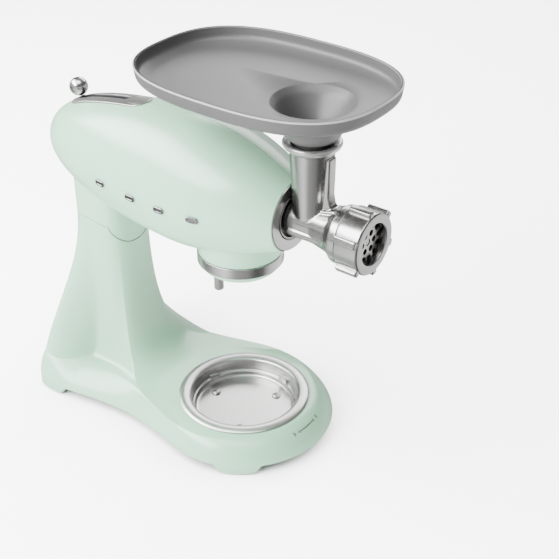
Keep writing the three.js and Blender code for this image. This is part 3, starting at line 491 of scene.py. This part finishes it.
def make_trim():
    def plate_ring(inset, height):
        return on_top(capsule(-134, 0, 114 - 2 * inset, 31 - 2 * inset), height)

    def slot_ring(inset, height):
        return on_top(capsule(-144.5, 0, 79 - 2 * inset, 9 - 2 * inset), height)

    rings = [plate_ring(0, 0.3), plate_ring(0, 1.0), plate_ring(0.2, 1.35), plate_ring(0.6, 1.55),
             plate_ring(1.2, 1.6)]
    outer, inner = plate_ring(1.2, 1.6), slot_ring(-0.6, 1.6)
    for share in (0.2, 0.4, 0.6, 0.8):
        flat = lerp(outer, inner, share)[:, :2]
        rings.append(on_top(flat, 1.6))
    rings += [inner, slot_ring(-0.2, 1.5), slot_ring(0, 1.2), slot_ring(0, 0.3)]
    for share in (0.25, 0.5, 0.75):
        flat = lerp(slot_ring(0, 0.3), plate_ring(0, 0.3), share)[:, :2]
        rings.append(on_top(flat, 0.3))
    piece(loft("plate", rings, closed_tube=True), "speed_plate_fine", "head", SATIN, "polished_steel",
          "speed_plate")

    def trough_ring(inset, floor):
        ring = on_top(capsule(-145.5, 0, 79.4 - 2 * inset, 9.6 - 2 * inset), 0.28)
        ring[:, 2] -= floor * (9.6 + 3.4 * np.clip((-108 - ring[:, 0]) / 77, 0, 1))
        return ring

    # Painted shade: a dark trough under the lever slot so that the slot reads dark; it also stands for a dark
    # liner under the slot.
    trough = loft("trough", [trough_ring(1.5, 0.92), trough_ring(1.5, 0), trough_ring(0, 0),
                             trough_ring(0, 1)])
    piece(trough, "lever_slot_shade_liner", "head", DARK, "dark_plastic")

    marks = []
    for i in range(11):
        x = -176 + 6.4 * i
        tall = 5.0 if i % 5 == 0 else 3.2
        for side in (-1, 1):
            base = np.array([(x - 0.5, side * 7), (x + 0.5, side * 7), (x + 0.5, side * (7 + tall)),
                             (x - 0.5, side * (7 + tall))])
            marks.append(loft("mark", [on_top(base, 1.45), on_top(base, 1.75)]))
    piece(merged("marks", marks), "speed_marks", "head", INK, "dark_plastic")

    def loop_ring(inset, height):
        return on_top(capsule(-93.5, 0, 24 - 2 * inset, 21 - 2 * inset), height)

    outline = loft("loop", [loop_ring(0, 1.5), loop_ring(0.1, 1.85), loop_ring(0.7, 1.85),
                            loop_ring(0.8, 1.5)],
                   closed_tube=True)
    piece(outline, "speed_plate_ridge", "head", SATIN, "polished_steel")

    for i, x in enumerate((-92, -43, -0.6, 41)):
        def bar_ring(inset, height, x=x):
            return on_side(capsule(x, 300, 14 - 2 * inset, 7 - 2 * inset), height)

        bar = loft("bar", [bar_ring(0, 0.35), bar_ring(0, 1.7), bar_ring(0.3, 2.1), bar_ring(0.8, 2.2),
                           bar_ring(1.9, 2.2), bar_ring(2.2, 1.7), bar_ring(3.3, 1.7)])
        # The badge pills carry the painted shade of the darkened chrome.
        piece(bar, f"badge_pill_{i + 1}", "head", BADGE_SHADED_CHROME, "bright_trim", f"badge_bar_{i + 1}")

    ring = lathe("ring", [(25.6, 116), (38.8, 116), (38.8, 119.2), (37.8, 120.2), (26.8, 120.2),
                          (25.6, 119)], 160,
                 ring=True, axis="X", centre=(0, 0, HUB_Z), roundness=0.8)
    piece(ring, "hub_collar", "head", SEAT_STEEL, "polished_steel", "hub_ring")
    socket = lathe("socket", [
        (9, 84), (25.2, 84), (25.2, 120.2), (23.4, 120.2), (23.4, 110.2), (18.3, 110.2), (18.3, 86), (9, 86),
    ], 120, ring=True, axis="X", centre=(0, 0, HUB_Z), roundness=0.4)
    piece(socket, "hub_socket_fine", "head", SATIN, "steel", "hub_socket")


def make_lever():
    place = Matrix.Translation(Vector((-99.2, 0, 175)) * MM) @ Matrix.Rotation(math.radians(-24), 4, "Y")
    stem = lathe("stem", [(0, 184), (2.4, 184), (2.4, 196), (3.4, 198.2), (0, 198.2)], 48, roundness=0.5)
    ball = []
    for i in range(49):
        angle = PI * i / 48
        ball.append((10.7 * math.sin(angle), 209.2 - 10.7 * math.cos(angle)))
    knob = lathe("knob", ball, 96)
    for obj, name, finish, node in ((stem, "lever_rod", CHROME, "lever_stem"),
                                    (knob, "lever_knob", POLISHED, "lever_ball")):
        obj.data.transform(place)
        piece(obj, name, "speed_lever", finish, "bright_trim", node)


# ------------------------------------------------------------------ stand


def half_outline(inset, count):
    """From the front of the lobe round to the middle of the rear, at even steps."""
    r, w, rear = LOBE_R - inset, HALF_WIDTH - inset, REAR_X + inset
    c, waist = CORNER_R - inset * 0.5, WAIST_Y - inset
    end = math.radians(101)
    arc = np.linspace(0, end, 200)
    ex, ey = BOWL_X + r * math.cos(end), r * math.sin(end)
    t = np.linspace(0, 1, 120)
    runs = [np.stack([BOWL_X + r * np.cos(arc), r * np.sin(arc)], 1)]
    for controls in (
        [(ex, ey), (ex - 24, ey - 4), (WAIST_X + 22, waist), (WAIST_X - 12, waist)],
        [(WAIST_X - 12, waist), (WAIST_X - 50, waist), (rear + c + 42, w - 4), (rear + c + 16, w - 1)],
        [(rear + c + 16, w - 1), (rear + c - 4, w), (rear + 4, w - 2), (rear + 2, w - c + 8)],
        [(rear + 2, w - c + 8), (rear, w - c - 8), (rear - 1, 30), (rear - 1, 0)],
    ):
        runs.append(bezier(controls, t)[1:])
    path = np.concatenate(runs)
    steps = np.concatenate([[0], np.cumsum(np.linalg.norm(np.diff(path, axis=0), axis=1))])
    even = np.linspace(0, steps[-1], count + 1)
    return np.stack([np.interp(even, steps, path[:, 0]), np.interp(even, steps, path[:, 1])], 1)


def full_outline(inset, count):
    half = half_outline(inset, count)
    return np.concatenate([half, half[1:-1][::-1] * [1, -1]])


def skirt_edge(outline):
    """Height of the skirt's edge: low at four feet, arched between them, with short curved ramps."""
    x, y = outline[:, 0], np.abs(outline[:, 1])
    angle = np.degrees(np.arctan2(y, x - BOWL_X))
    front = smoothstep(angle, 40.5, 45.5) * (1 - smoothstep(angle, 66.5, 71.5)) * (x > BOWL_X)
    rear = (1 - smoothstep(x, -163, -153)) * smoothstep(y, 55, 65)
    return lerp(ARCH_Z, FOOT_Z, np.maximum(front, rear))


def stand_form(name, steps=40, count=150):
    outline = full_outline(0, count)
    angle = np.arctan2(outline[:, 1], outline[:, 0] - NECK_X)
    dx, dy = superellipse(NECK_A, NECK_B, 3, angle)
    neck = np.stack([NECK_X + dx, dy], 1)
    side_share = smoothstep(np.abs(angle), 1.5, 2.3)
    reach = np.linalg.norm(outline - neck, axis=1)
    bevel = lerp(BEVEL_WAIST, BEVEL_LOBE, np.clip((outline[:, 0] - WAIST_X) / (BOWL_X - WAIST_X), 0, 1))
    over = lerp(np.minimum(bevel, reach * 0.7), 0.09 * reach, side_share)
    fullness = lerp(LOBE_FULLNESS, SIDE_FULLNESS, side_share)
    edge_z = lerp(DECK_Z, SLOPE_END_Z, side_share)
    tight = np.minimum(1, (reach - over - 2) / FLARE_REACH)

    def ring_at(distance, height):
        flat = neck + (outline - neck) * (distance / reach)[:, None]
        return np.concatenate([flat, np.broadcast_to(height, (len(flat),))[:, None]], 1)

    t = np.linspace(0, 1, steps + 1)
    front = bezier([(0, NECK_TOP), (2, 130), (4, DECK_Z), (FLARE_REACH, DECK_Z)], t)
    side = bezier([(0, NECK_TOP), (0.04, 150), (0.78, 116), (0.89, SLOPE_END_Z)], t)
    rings = []
    for f, s in zip(front, side):
        rings.append(ring_at(lerp(f[0] * tight, s[0] * reach, side_share), lerp(f[1], s[1], side_share)))
    low = ARCH_Z + 1
    for i in range(1, 13):
        a = PI / 2 * i / 12
        rings.append(ring_at(
            reach - over * (1 - math.sin(a) ** (2 / fullness)),
            low + (edge_z - low) * max(math.cos(a), 0) ** (2 / fullness),
        ))
    edge = skirt_edge(outline)
    rings.append(ring_at(reach, edge + 0.5))
    inner = full_outline(3, count)
    rings.append(np.concatenate([outline * 0.9985, edge[:, None]], 1))
    rings.append(np.concatenate([inner, edge[:, None]], 1))
    rings.append(np.concatenate([full_outline(4, count), np.full((len(outline), 1), 13.4)], 1))
    rings.append(np.concatenate([full_outline(28, count), np.full((len(outline), 1), 29.0)], 1))
    return loft(name, rings)


def make_stand():
    stand = cut(
        stand_form("stand"),
        loft("tube", [neck_ring(10, 1, -3), neck_ring(NECK_TOP + 10, 1, -3)]),
        bracket_zone("bracket_room", 0.8),
        knuckle("knuckle_room", 0.5),
        lathe("bowl_hole", [(0, 5), (70, 5), (70, 60), (0, 60)], 120, centre=(BOWL_X, 0, 0)),
        lathe("button_hole", [(0, -230), (9.3, -230), (9.3, -175), (0, -175)], 64, axis="X",
              centre=(0, 0, BUTTON_Z)),
        lathe("inlet_hole", [(0, -215), (7.3, -215), (7.3, -180), (0, -180)], 48, axis="X",
              centre=(0, INLET_Y, INLET_Z)),
        lathe("pin_hole", [
            (0, -PIN_HALF - PIN_ROOM), (PIN_R + GAP, -PIN_HALF - PIN_ROOM),
            (PIN_R + GAP, PIN_HALF + PIN_ROOM), (0, PIN_HALF + PIN_ROOM),
        ], 48, axis="Y", centre=(PIVOT_X, 0, PIVOT_Z)),
    )
    piece(stand, "stand_housing", "stand", MINT, "mint_paint", "base_housing")
    pin = lathe("pin", [
        (0, -PIN_HALF), (PIN_R - 0.8, -PIN_HALF), (PIN_R, -PIN_HALF + 0.8), (PIN_R, PIN_HALF - 0.8),
        (PIN_R - 0.8, PIN_HALF), (0, PIN_HALF),
    ], 48, axis="Y", centre=(PIVOT_X, 0, PIVOT_Z))
    piece(pin, "hinge_pin_fine", "stand", MACHINED, "steel", "hinge_pin")

    seat = lathe("seat", [
        (0, 16), (59.5, 16), (61.4, 18), (63.2, 37.3), (76.6, 37.3), (77, 38.2), (74.5, 39.6), (70.5, 40.1),
        (65.5, 39.6), (62.6, 37.8), (61.6, 30), (61.2, 24.5), (58.6, 23.4), (58.4, 19.4), (56.6, 17.6),
        (54, 17.4), (0, 17.4),
    ], 180, centre=(BOWL_X, 0, 0), roundness=1.4)
    lugs = []
    for degrees in (76, 166, 303):
        lug = block("lug", (BOWL_X + 57.4, -7, 24.2), (BOWL_X + 62.4, 7, 29.8))
        round_edges(lug, 0.8)
        lugs.append(turned_about(lug, "Z", degrees, (BOWL_X, 0, 0)))
    piece(seat, "bowl_seat_dish", "stand", SEAT_STEEL, "polished_steel", "bowl_seat")
    piece(merged("lugs", lugs), "bowl_seat_bayonets", "stand", SEAT_STEEL, "polished_steel")
    for i, degrees in enumerate((62, 182, 302)):
        a = math.radians(degrees)
        x, y = BOWL_X + 42 * math.cos(a), 42 * math.sin(a)
        screw = lathe("screw", [(0, 9), (2, 9), (2, 17.6), (5.2, 17.6), (5.2, 18.6), (4.2, 19.8),
                                (0, 20.2)], 40,
                      centre=(x, y, 0), roundness=0.4)
        for turn in (20, 110):
            bar = turned_about(block("bar", (x - 2.9, y - 0.6, 18.6), (x + 2.9, y + 0.6, 21)), "Z", turn,
                               (x, y, 0))
            cut(screw, bar)
        piece(screw, f"seat_screw_{i + 1}", "stand", SATIN, "steel", f"bowl_seat_screw_{i + 1}")

    def on_deck(outline):
        x, y = np.array(outline).T
        z = np.array([deck_height(r) for r in np.hypot(x - BOWL_X, y)])
        return loft("mark", [np.stack([x, y, z - 0.5], 1), np.stack([x, y, z + 0.3], 1)])

    def at(radius, degrees):
        angle = math.radians(degrees)
        return BOWL_X + radius * math.cos(angle), radius * math.sin(angle)

    marks = []
    for start in np.arange(-7.5, 7.5, 1.5):
        marks.append(on_deck([at(91.5, start), at(92.5, start), at(92.5, start + 1.5),
                              at(91.5, start + 1.5)]))
    for sign in (-1, 1):
        marks.append(on_deck([at(92, sign * 9.9), at(93.7, sign * 7.5), at(90.3, sign * 7.5)][::sign]))
        marks.append(on_deck([at(90.0, sign * 14.1), at(94.0, sign * 13.3), at(93.4, sign * 11.9),
                              at(90.8, sign * 11.9)]))
    piece(merged("marks", marks), "bowl_turn_marks", "stand", INK, "dark_plastic")

    button = lathe("button", [
        (0, -192.5), (7.4, -192.5), (9, -190.8), (9, -181.4), (11, -181.4), (11, -179), (4, -179),
        (4, -154.6), (0, -154.6),
    ], 72, axis="X", centre=(0, 0, BUTTON_Z), roundness=0.7)
    piece(button, "release_button_fine", "release_button", CHROME, "bright_trim", "release_button")

    inlet = lathe("inlet", [
        (3.5, -209), (9, -209), (9, -205.3), (7, -205.3), (7, -198), (3.5, -198),
    ], 48, ring=True, axis="X", centre=(0, INLET_Y, INLET_Z), roundness=0.6)
    piece(inlet, "cord_inlet_ring", "stand", RUBBER, "rubber", "cord_inlet")
    for end, (x, y) in (("front", (96, 73)), ("rear", (-172, 80))):
        for side, sign in (("left", 1), ("right", -1)):
            foot = lathe("foot", [(0, 0), (8, 0), (9, 1), (9, 10.7), (0, 10.7)], 48, centre=(x, sign * y, 0),
                         roundness=0.5)
            piece(foot, f"rubber_foot_{end}_{side}", "stand", RUBBER, "rubber", f"foot_{end}_{side}")


def deck_height(radius):
    """Height of the deck's bevel at a radius about the bowl's axis, on the machine's middle line."""
    share = np.clip((LOBE_R - radius) / BEVEL_LOBE, 0, 1)
    a = math.asin((1 - share) ** (LOBE_FULLNESS / 2))
    low = ARCH_Z + 1
    return low + (DECK_Z - low) * math.cos(a) ** (2 / LOBE_FULLNESS)


# ------------------------------------------------------------------ planetary


def make_planetary():
    centre = (BOWL_X, 0, 0)
    skirt = lathe("skirt", [(45, 236.8), (46.5, 236.8), (46.5, 262), (14, 262), (14, 259), (45, 259)], 144,
                  ring=True, centre=centre, roundness=0.4)
    piece(skirt, "planetary_skirt_fine", "head", MINT, "mint_paint", "planetary_skirt")
    band = lathe("band", [(44.5, 224.5), (47.8, 224.5), (47.8, 236.5), (44.5, 236.5)], 144, ring=True,
                 centre=centre, roundness=0.7)
    piece(band, "planetary_band_fine", "planetary", POLISHED, "polished_steel", "planetary_band")
    bowl = lathe("bowl", [
        (0, 211), (20, 211.3), (34, 213), (42, 217), (46, 224.2), (44.2, 224.5), (44.2, 235.5), (42, 235.5),
        (42, 224.5), (32, 217), (0, 215),
    ], 144, centre=centre, roundness=3.5)
    join(
        bowl,
        lathe("boss", [(0, 213), (13, 213), (13, 232), (0, 232)], 64, centre=centre),
        lathe("tool_boss", [(0, 213), (10, 213), (10, 232), (0, 232)], 64, centre=(TOOL_X, TOOL_Y, 0)),
    )
    cut(
        bowl,
        lathe("bore", [(0, 215.2), (8.5, 215.2), (8.5, 240), (0, 240)], 64, centre=centre),
        lathe("tool_bore", [(0, 195), (5.8, 195), (5.8, 240), (0, 240)], 64, centre=(TOOL_X, TOOL_Y, 0)),
    )
    piece(bowl, "planetary_cap_fine", "planetary", MINT, "mint_paint", "planetary_cap")

    shaft = lathe("shaft", [(0, 177), (4.3, 177), (5.5, 178.2), (5.5, 252), (0, 252)], 64,
                  centre=(TOOL_X, TOOL_Y, 0), roundness=0.4)
    cut(shaft, lathe("pin_bore", [(0, -20), (1.8, -20), (1.8, 20), (0, 20)], 32, axis="Y",
                     centre=(TOOL_X, TOOL_Y, 200)))
    piece(shaft, "tool_shaft_fine", "tool", POLISHED, "steel", "tool_shaft")
    pin = lathe("pin", [(0, -8.5), (1.5, -8.5), (1.5, 8.5), (0, 8.5)], 32, axis="Y",
                centre=(TOOL_X, TOOL_Y, 200), roundness=0.5)
    piece(pin, "tool_cross_pin_fine", "tool", POLISHED, "steel", "tool_cross_pin")


# ------------------------------------------------------------------ grinder and tray


def make_grinder():
    hub = (0, 0, HUB_Z)
    barrel = lathe("barrel", [
        (0, 86), (18, 86), (18, 120), (20.5, 124), (20.5, 152), (24.5, 172), (29, 179), (31, 181),
        (31, 189.5), (29, 190), (29, 210), (0, 210),
    ], 128, axis="X", centre=hub, roundness=1.6)
    throat = lathe("throat", [
        (0, HUB_Z - 2), (17.6, HUB_Z - 2), (22.6, 374), (22.9, 384), (25, 387), (27.8, 390), (27.2, 392.6),
        (0, 392.6),
    ], 128, centre=(THROAT_X, 0, 0), roundness=2)
    ribs = [
        lathe("rib", [(0, 126), (4.8, 126), (4.8, 185), (0, 185)], 48, axis="X",
              centre=(0, side * 18, HUB_Z - 6))
        for side in (-1, 1)
    ]
    web = prism("web", [(148, 312), (176, 312), (173.5, 323), (167.5, 329), (165.4, 338), (166.6, 380),
                        (148, 380)],
                -6.5, 6.5, "Y")
    round_edges(web, 1.8)
    shoulder = prism("shoulder", [(141, 300), (184, 300), (184, 330.6), (174, 327.4), (141, 318.6)], -10,
                     10, "Y")
    round_edges(shoulder, 3, 4)
    body = join(barrel, throat, *ribs, web, shoulder)
    modify(body, "REMESH", mode="VOXEL", voxel_size=0.8 * MM)
    modify(body, "SMOOTH", factor=0.5, iterations=4)
    thread = lathe("thread", [(28.9, 190), (34, 190), (34, 212), (28.9, 212)], 128, ring=True, axis="X",
                   centre=hub)
    cut(
        body,
        lathe("bore", [
            (0, 85), (8.6, 85), (8.6, 102), (12.3, 102), (12.3, 110), (17.5, 110), (17.5, 198), (25.3, 198),
            (25.3, 212), (0, 212),
        ], 96, axis="X", centre=hub),
        lathe("throat_bore", [
            (0, HUB_Z), (14, HUB_Z), (20.4, 378), (20.7, LIP_Z - 3.2), (28.3, LIP_Z - 0.2), (28.3, 396),
            (0, 396),
        ], 96, centre=(THROAT_X, 0, 0)),
        thread,
    )
    piece(body, "grinder_casting", "grinder", CAST, "cast_aluminium", "grinder_body", sharp=40)
    rim = lathe("rim", [
        (22, LIP_Z - 9.6), (26, LIP_Z - 8.6), (29, LIP_Z - 6.4), (30.4, LIP_Z - 3.6), (29.9, LIP_Z - 1.2),
        (28, LIP_Z + 0.2), (24.6, LIP_Z - 0.6), (21.6, LIP_Z - 3),
    ], 144, ring=True, centre=(THROAT_X, 0, 0), roundness=1)
    # The rolled rim carries the painted highlight of the lighter cast metal.
    piece(rim, "throat_rolled_rim", "grinder", RIM_PAINTED_HIGHLIGHT, "cast_aluminium")

    plate = lathe("hole_plate", [(0, 205), (24.6, 205), (25, 205.4), (25, 209.9), (24.6, 210.3),
                                 (0, 210.3)], 128,
                  axis="X", centre=hub)
    for count, circle, phase in ((6, 10, 0.0), (12, 18.6, 0.13)):
        for i in range(count):
            a = TAU * i / count + phase
            cut(plate, lathe("hole", [(0, 204), (3.4, 204), (3.4, 212), (0, 212)], 28, axis="X",
                             centre=(0, circle * math.cos(a), HUB_Z + circle * math.sin(a))))
    cut(plate, lathe("hole", [(0, 204), (4, 204), (4, 212), (0, 212)], 32, axis="X", centre=hub))
    piece(plate, "hole_plate_fine", "hole_plate", BRUSHED, "polished_steel", "hole_plate")

    nut = lathe("nut", [
        (29.3, 191), (33, 191), (33, 216.5), (31.5, 218), (23, 218), (22, 217), (22, 210.7), (29.3, 210.7),
    ], 160, ring=True, axis="X", centre=hub, roundness=0.9)
    for i in range(6):
        lug = block("lug", (191.5, 31.2, HUB_Z - 4), (217, 38, HUB_Z + 4))
        round_edges(lug, 1.8, 4)
        join(nut, turned_about(lug, "X", 38 + 60 * i, (200, 0, HUB_Z)))
    piece(nut, "ring_nut_fine", "ring_nut", CAST, "cast_aluminium", "ring_nut")


def tray_ring(z, inset, count=200):
    dx, dy = superellipse(TRAY_A - inset, TRAY_B - inset, TRAY_POWER, np.arange(count) * TAU / count)
    return np.stack([TRAY_X + dx, dy, np.full(count, z)], 1)


def profile_rings(profile):
    return [tray_ring(z, inset) for inset, z in profile]


def make_tray():
    outside = fillet([(60, 430.6), (24, 431), (9, 433.4), (1.7, 438), (0, 450.9), (0, 451.0), (0.8, 451.7),
                      (2, 451.7)],
                     5, 5)
    inside = fillet([(60, 433.8), (26, 434.4), (12.5, 436), (4.2, 440), (2.6, 450.5), (2.3, 453)], 5, 5)
    funnel = [
        (0, 372), (19.3, 372), (20.1, 395.6), (25, 396.4), (29.4, 402), (33.2, 409.5), (38, 420),
        (48, 432.5), (0, 432.5),
    ]
    funnel_bore = [
        (0, 370), (17.2, 370), (17.8, 400), (27, 414), (36, 428), (43.5, 435), (50, 437), (0, 437),
    ]
    tray = loft("tray", profile_rings(outside))
    join(tray, lathe("funnel", funnel, 128, centre=(THROAT_X, 0, 0), roundness=2.5))
    cut(
        tray,
        loft("tray_room", profile_rings(inside)),
        lathe("funnel_bore", funnel_bore, 128, centre=(THROAT_X, 0, 0), roundness=3),
    )
    piece(tray, "feed_tray_pan", "tray", TRAY, "grey_tray", "feed_tray", sharp=45)
    rim = loft("rim", profile_rings([(0.0, 450.2), (0.0, 451.2), (0.5, 451.7), (2.2, 451.7), (2.6, 451.2),
                                     (2.6, 450.2)]),
               closed_tube=True)
    piece(rim, "feed_tray_rim", "tray", TRAY_EDGE, "grey_tray")


# ------------------------------------------------------------------ what stays as it is

INSIDE = {
    "steel": MACHINED, "cast_aluminium": CAST, "brass": BRASS, "copper": COPPER, "board": BOARD,
    "dark_plastic": DARK, "rubber": RUBBER, "mint_paint": MINT, "polished_steel": POLISHED,
    "bright_trim": CHROME, "grey_tray": TRAY,
}


def finish_carried_nodes():
    slots = {part["node"]: part["material_slot"] for part in frame["record"]["subparts"]}
    for name, obj in frame["nodes"].items():
        if obj.hide_render:
            continue
        obj.data.materials.clear()
        obj.data.materials.append(INSIDE[slots[name]])


# ------------------------------------------------------------------ studio


FLOOR_REACH = 6000


def make_floor():
    corners = [(x * FLOOR_REACH, y * FLOOR_REACH, 0) for x, y in ((-1, -1), (1, -1), (1, 1), (-1, 1))]
    floor = build("studio_floor", corners, [(0, 1, 2, 3)])
    material = surface("white_floor", (0.93, 0.93, 0.93), 0.7, tint=0.003, bump=0.0, grain=40, smear=0.05,
                       specular=0.1)
    floor.data.materials.append(material)
    return floor


# Brightness round the reflection card: heading in degrees from +X, and value.
CARD_BANDS = [
    (-180, 0.14), (-140, 0.07), (-126, 0.14), (-110, 0.3), (-84, 0.5), (-62, 0.16), (-30, 0.12),
    (-14, 0.03), (6, 0.06), (24, 0.5), (44, 0.75), (64, 0.8), (80, 0.3), (110, 0.25), (150, 0.1), (180, 0.14),
]


def make_card(name, low, high, bands):
    """A ring of banded card on the table, seen only as reflections in gloss and metal."""
    angles = np.radians(np.arange(0, 360, 5))
    points = [(r * math.cos(a), r * math.sin(a), 3) for r in (low, high) for a in angles]
    n = len(angles)
    card = build(name, points, [(i, (i + 1) % n, n + (i + 1) % n, n + i) for i in range(n)])
    material = bpy.data.materials.new(name)
    material.use_nodes = True
    nodes, links = material.node_tree.nodes, material.node_tree.links
    place, sweep, ramp = (nodes.new(kind) for kind in ("ShaderNodeTexCoord", "ShaderNodeTexGradient",
                                                       "ShaderNodeValToRGB"))
    sweep.gradient_type = "RADIAL"
    links.new(place.outputs["Object"], sweep.inputs["Vector"])
    links.new(sweep.outputs["Fac"], ramp.inputs["Fac"])
    links.new(ramp.outputs["Color"], nodes["Principled BSDF"].inputs["Base Color"])
    nodes["Principled BSDF"].inputs["Roughness"].default_value = 0.9
    stops = ramp.color_ramp.elements
    for stop, (heading, value) in zip((stops[0], stops[1]), (bands[0], bands[-1])):
        stop.position, stop.color = (heading + 180) / 360, (value, value, value, 1)
    for heading, value in bands[1:-1]:
        stops.new((heading + 180) / 360).color = (value, value, value, 1)
    card.data.materials.append(material)
    card.visible_camera = card.visible_diffuse = card.visible_shadow = False


def area_light(name, place, target, size, power, glossy=True):
    """A soft box. It may be left out of reflections."""
    data = bpy.data.lights.new(name, "AREA")
    data.shape = "RECTANGLE"
    data.size, data.size_y = size
    data.energy = power
    light = bpy.data.objects.new(name, data)
    aim = (Vector(place) - Vector(target)).to_track_quat("Z", "Y")
    light.matrix_world = Matrix.Translation(place) @ aim.to_matrix().to_4x4()
    light.visible_glossy = glossy
    bpy.context.scene.collection.objects.link(light)


def make_lights(floor):
    world = bpy.data.worlds.new("studio")
    bpy.context.scene.world = world
    world.use_nodes = True
    nodes, links = world.node_tree.nodes, world.node_tree.links
    coords = nodes.new("ShaderNodeTexCoord")
    split = nodes.new("ShaderNodeSeparateXYZ")
    ramp = nodes.new("ShaderNodeValToRGB")
    links.new(coords.outputs["Generated"], split.inputs["Vector"])
    links.new(split.outputs["Z"], ramp.inputs["Fac"])
    links.new(ramp.outputs["Color"], nodes["Background"].inputs["Color"])
    nodes["Background"].inputs["Strength"].default_value = 1.6
    stops = ramp.color_ramp.elements
    stops[0].position, stops[0].color = 0.0, (0.9, 0.9, 0.9, 1)
    stops[1].position, stops[1].color = 1.0, (0.45, 0.45, 0.45, 1)
    for place, value in ((0.1, 0.9), (0.2, 0.12), (0.5, 0.10), (0.8, 0.3)):
        stop = stops.new(place)
        stop.color = (value, value, value, 1)
    area_light("strip", (-0.82, -0.90, 1.37), (0, 0, 0.3), (2.6, 0.85), 165)
    area_light("fill", (-0.7, -2.1, 0.85), (0, 0, 0.12), (1.8, 1.2), 90, glossy=False)
    area_light("top", (0.15, -0.4, 2.0), (0, 0, 0.2), (1.5, 1.1), 40)
    area_light("back", (-0.6, 1.7, 1.3), (0, 0, 0.25), (1.6, 0.8), 30)

    # The table is lit on its own, evenly and very softly, as a white sweep is.
    sky = bpy.data.lights.new("table", "SUN")
    sky.energy = 13
    sky.angle = math.radians(100)
    light = bpy.data.objects.new("table", sky)
    light.rotation_euler = Vector((0.1, 0.4, 1)).to_track_quat("Z", "Y").to_euler()
    light.visible_glossy = False
    bpy.context.scene.collection.objects.link(light)
    receivers = bpy.data.collections.new("table_receivers")
    receivers.objects.link(floor)
    light.light_linking.receiver_collection = receivers


make_head()
make_trim()
make_lever()
make_stand()
make_planetary()
make_grinder()
make_tray()
finish_carried_nodes()
floor = make_floor()
make_card("outer_card", 300, FLOOR_REACH, CARD_BANDS)
make_card("inner_card", 10, 299, [(-180, 0.2), (180, 0.2)])
make_lights(floor)
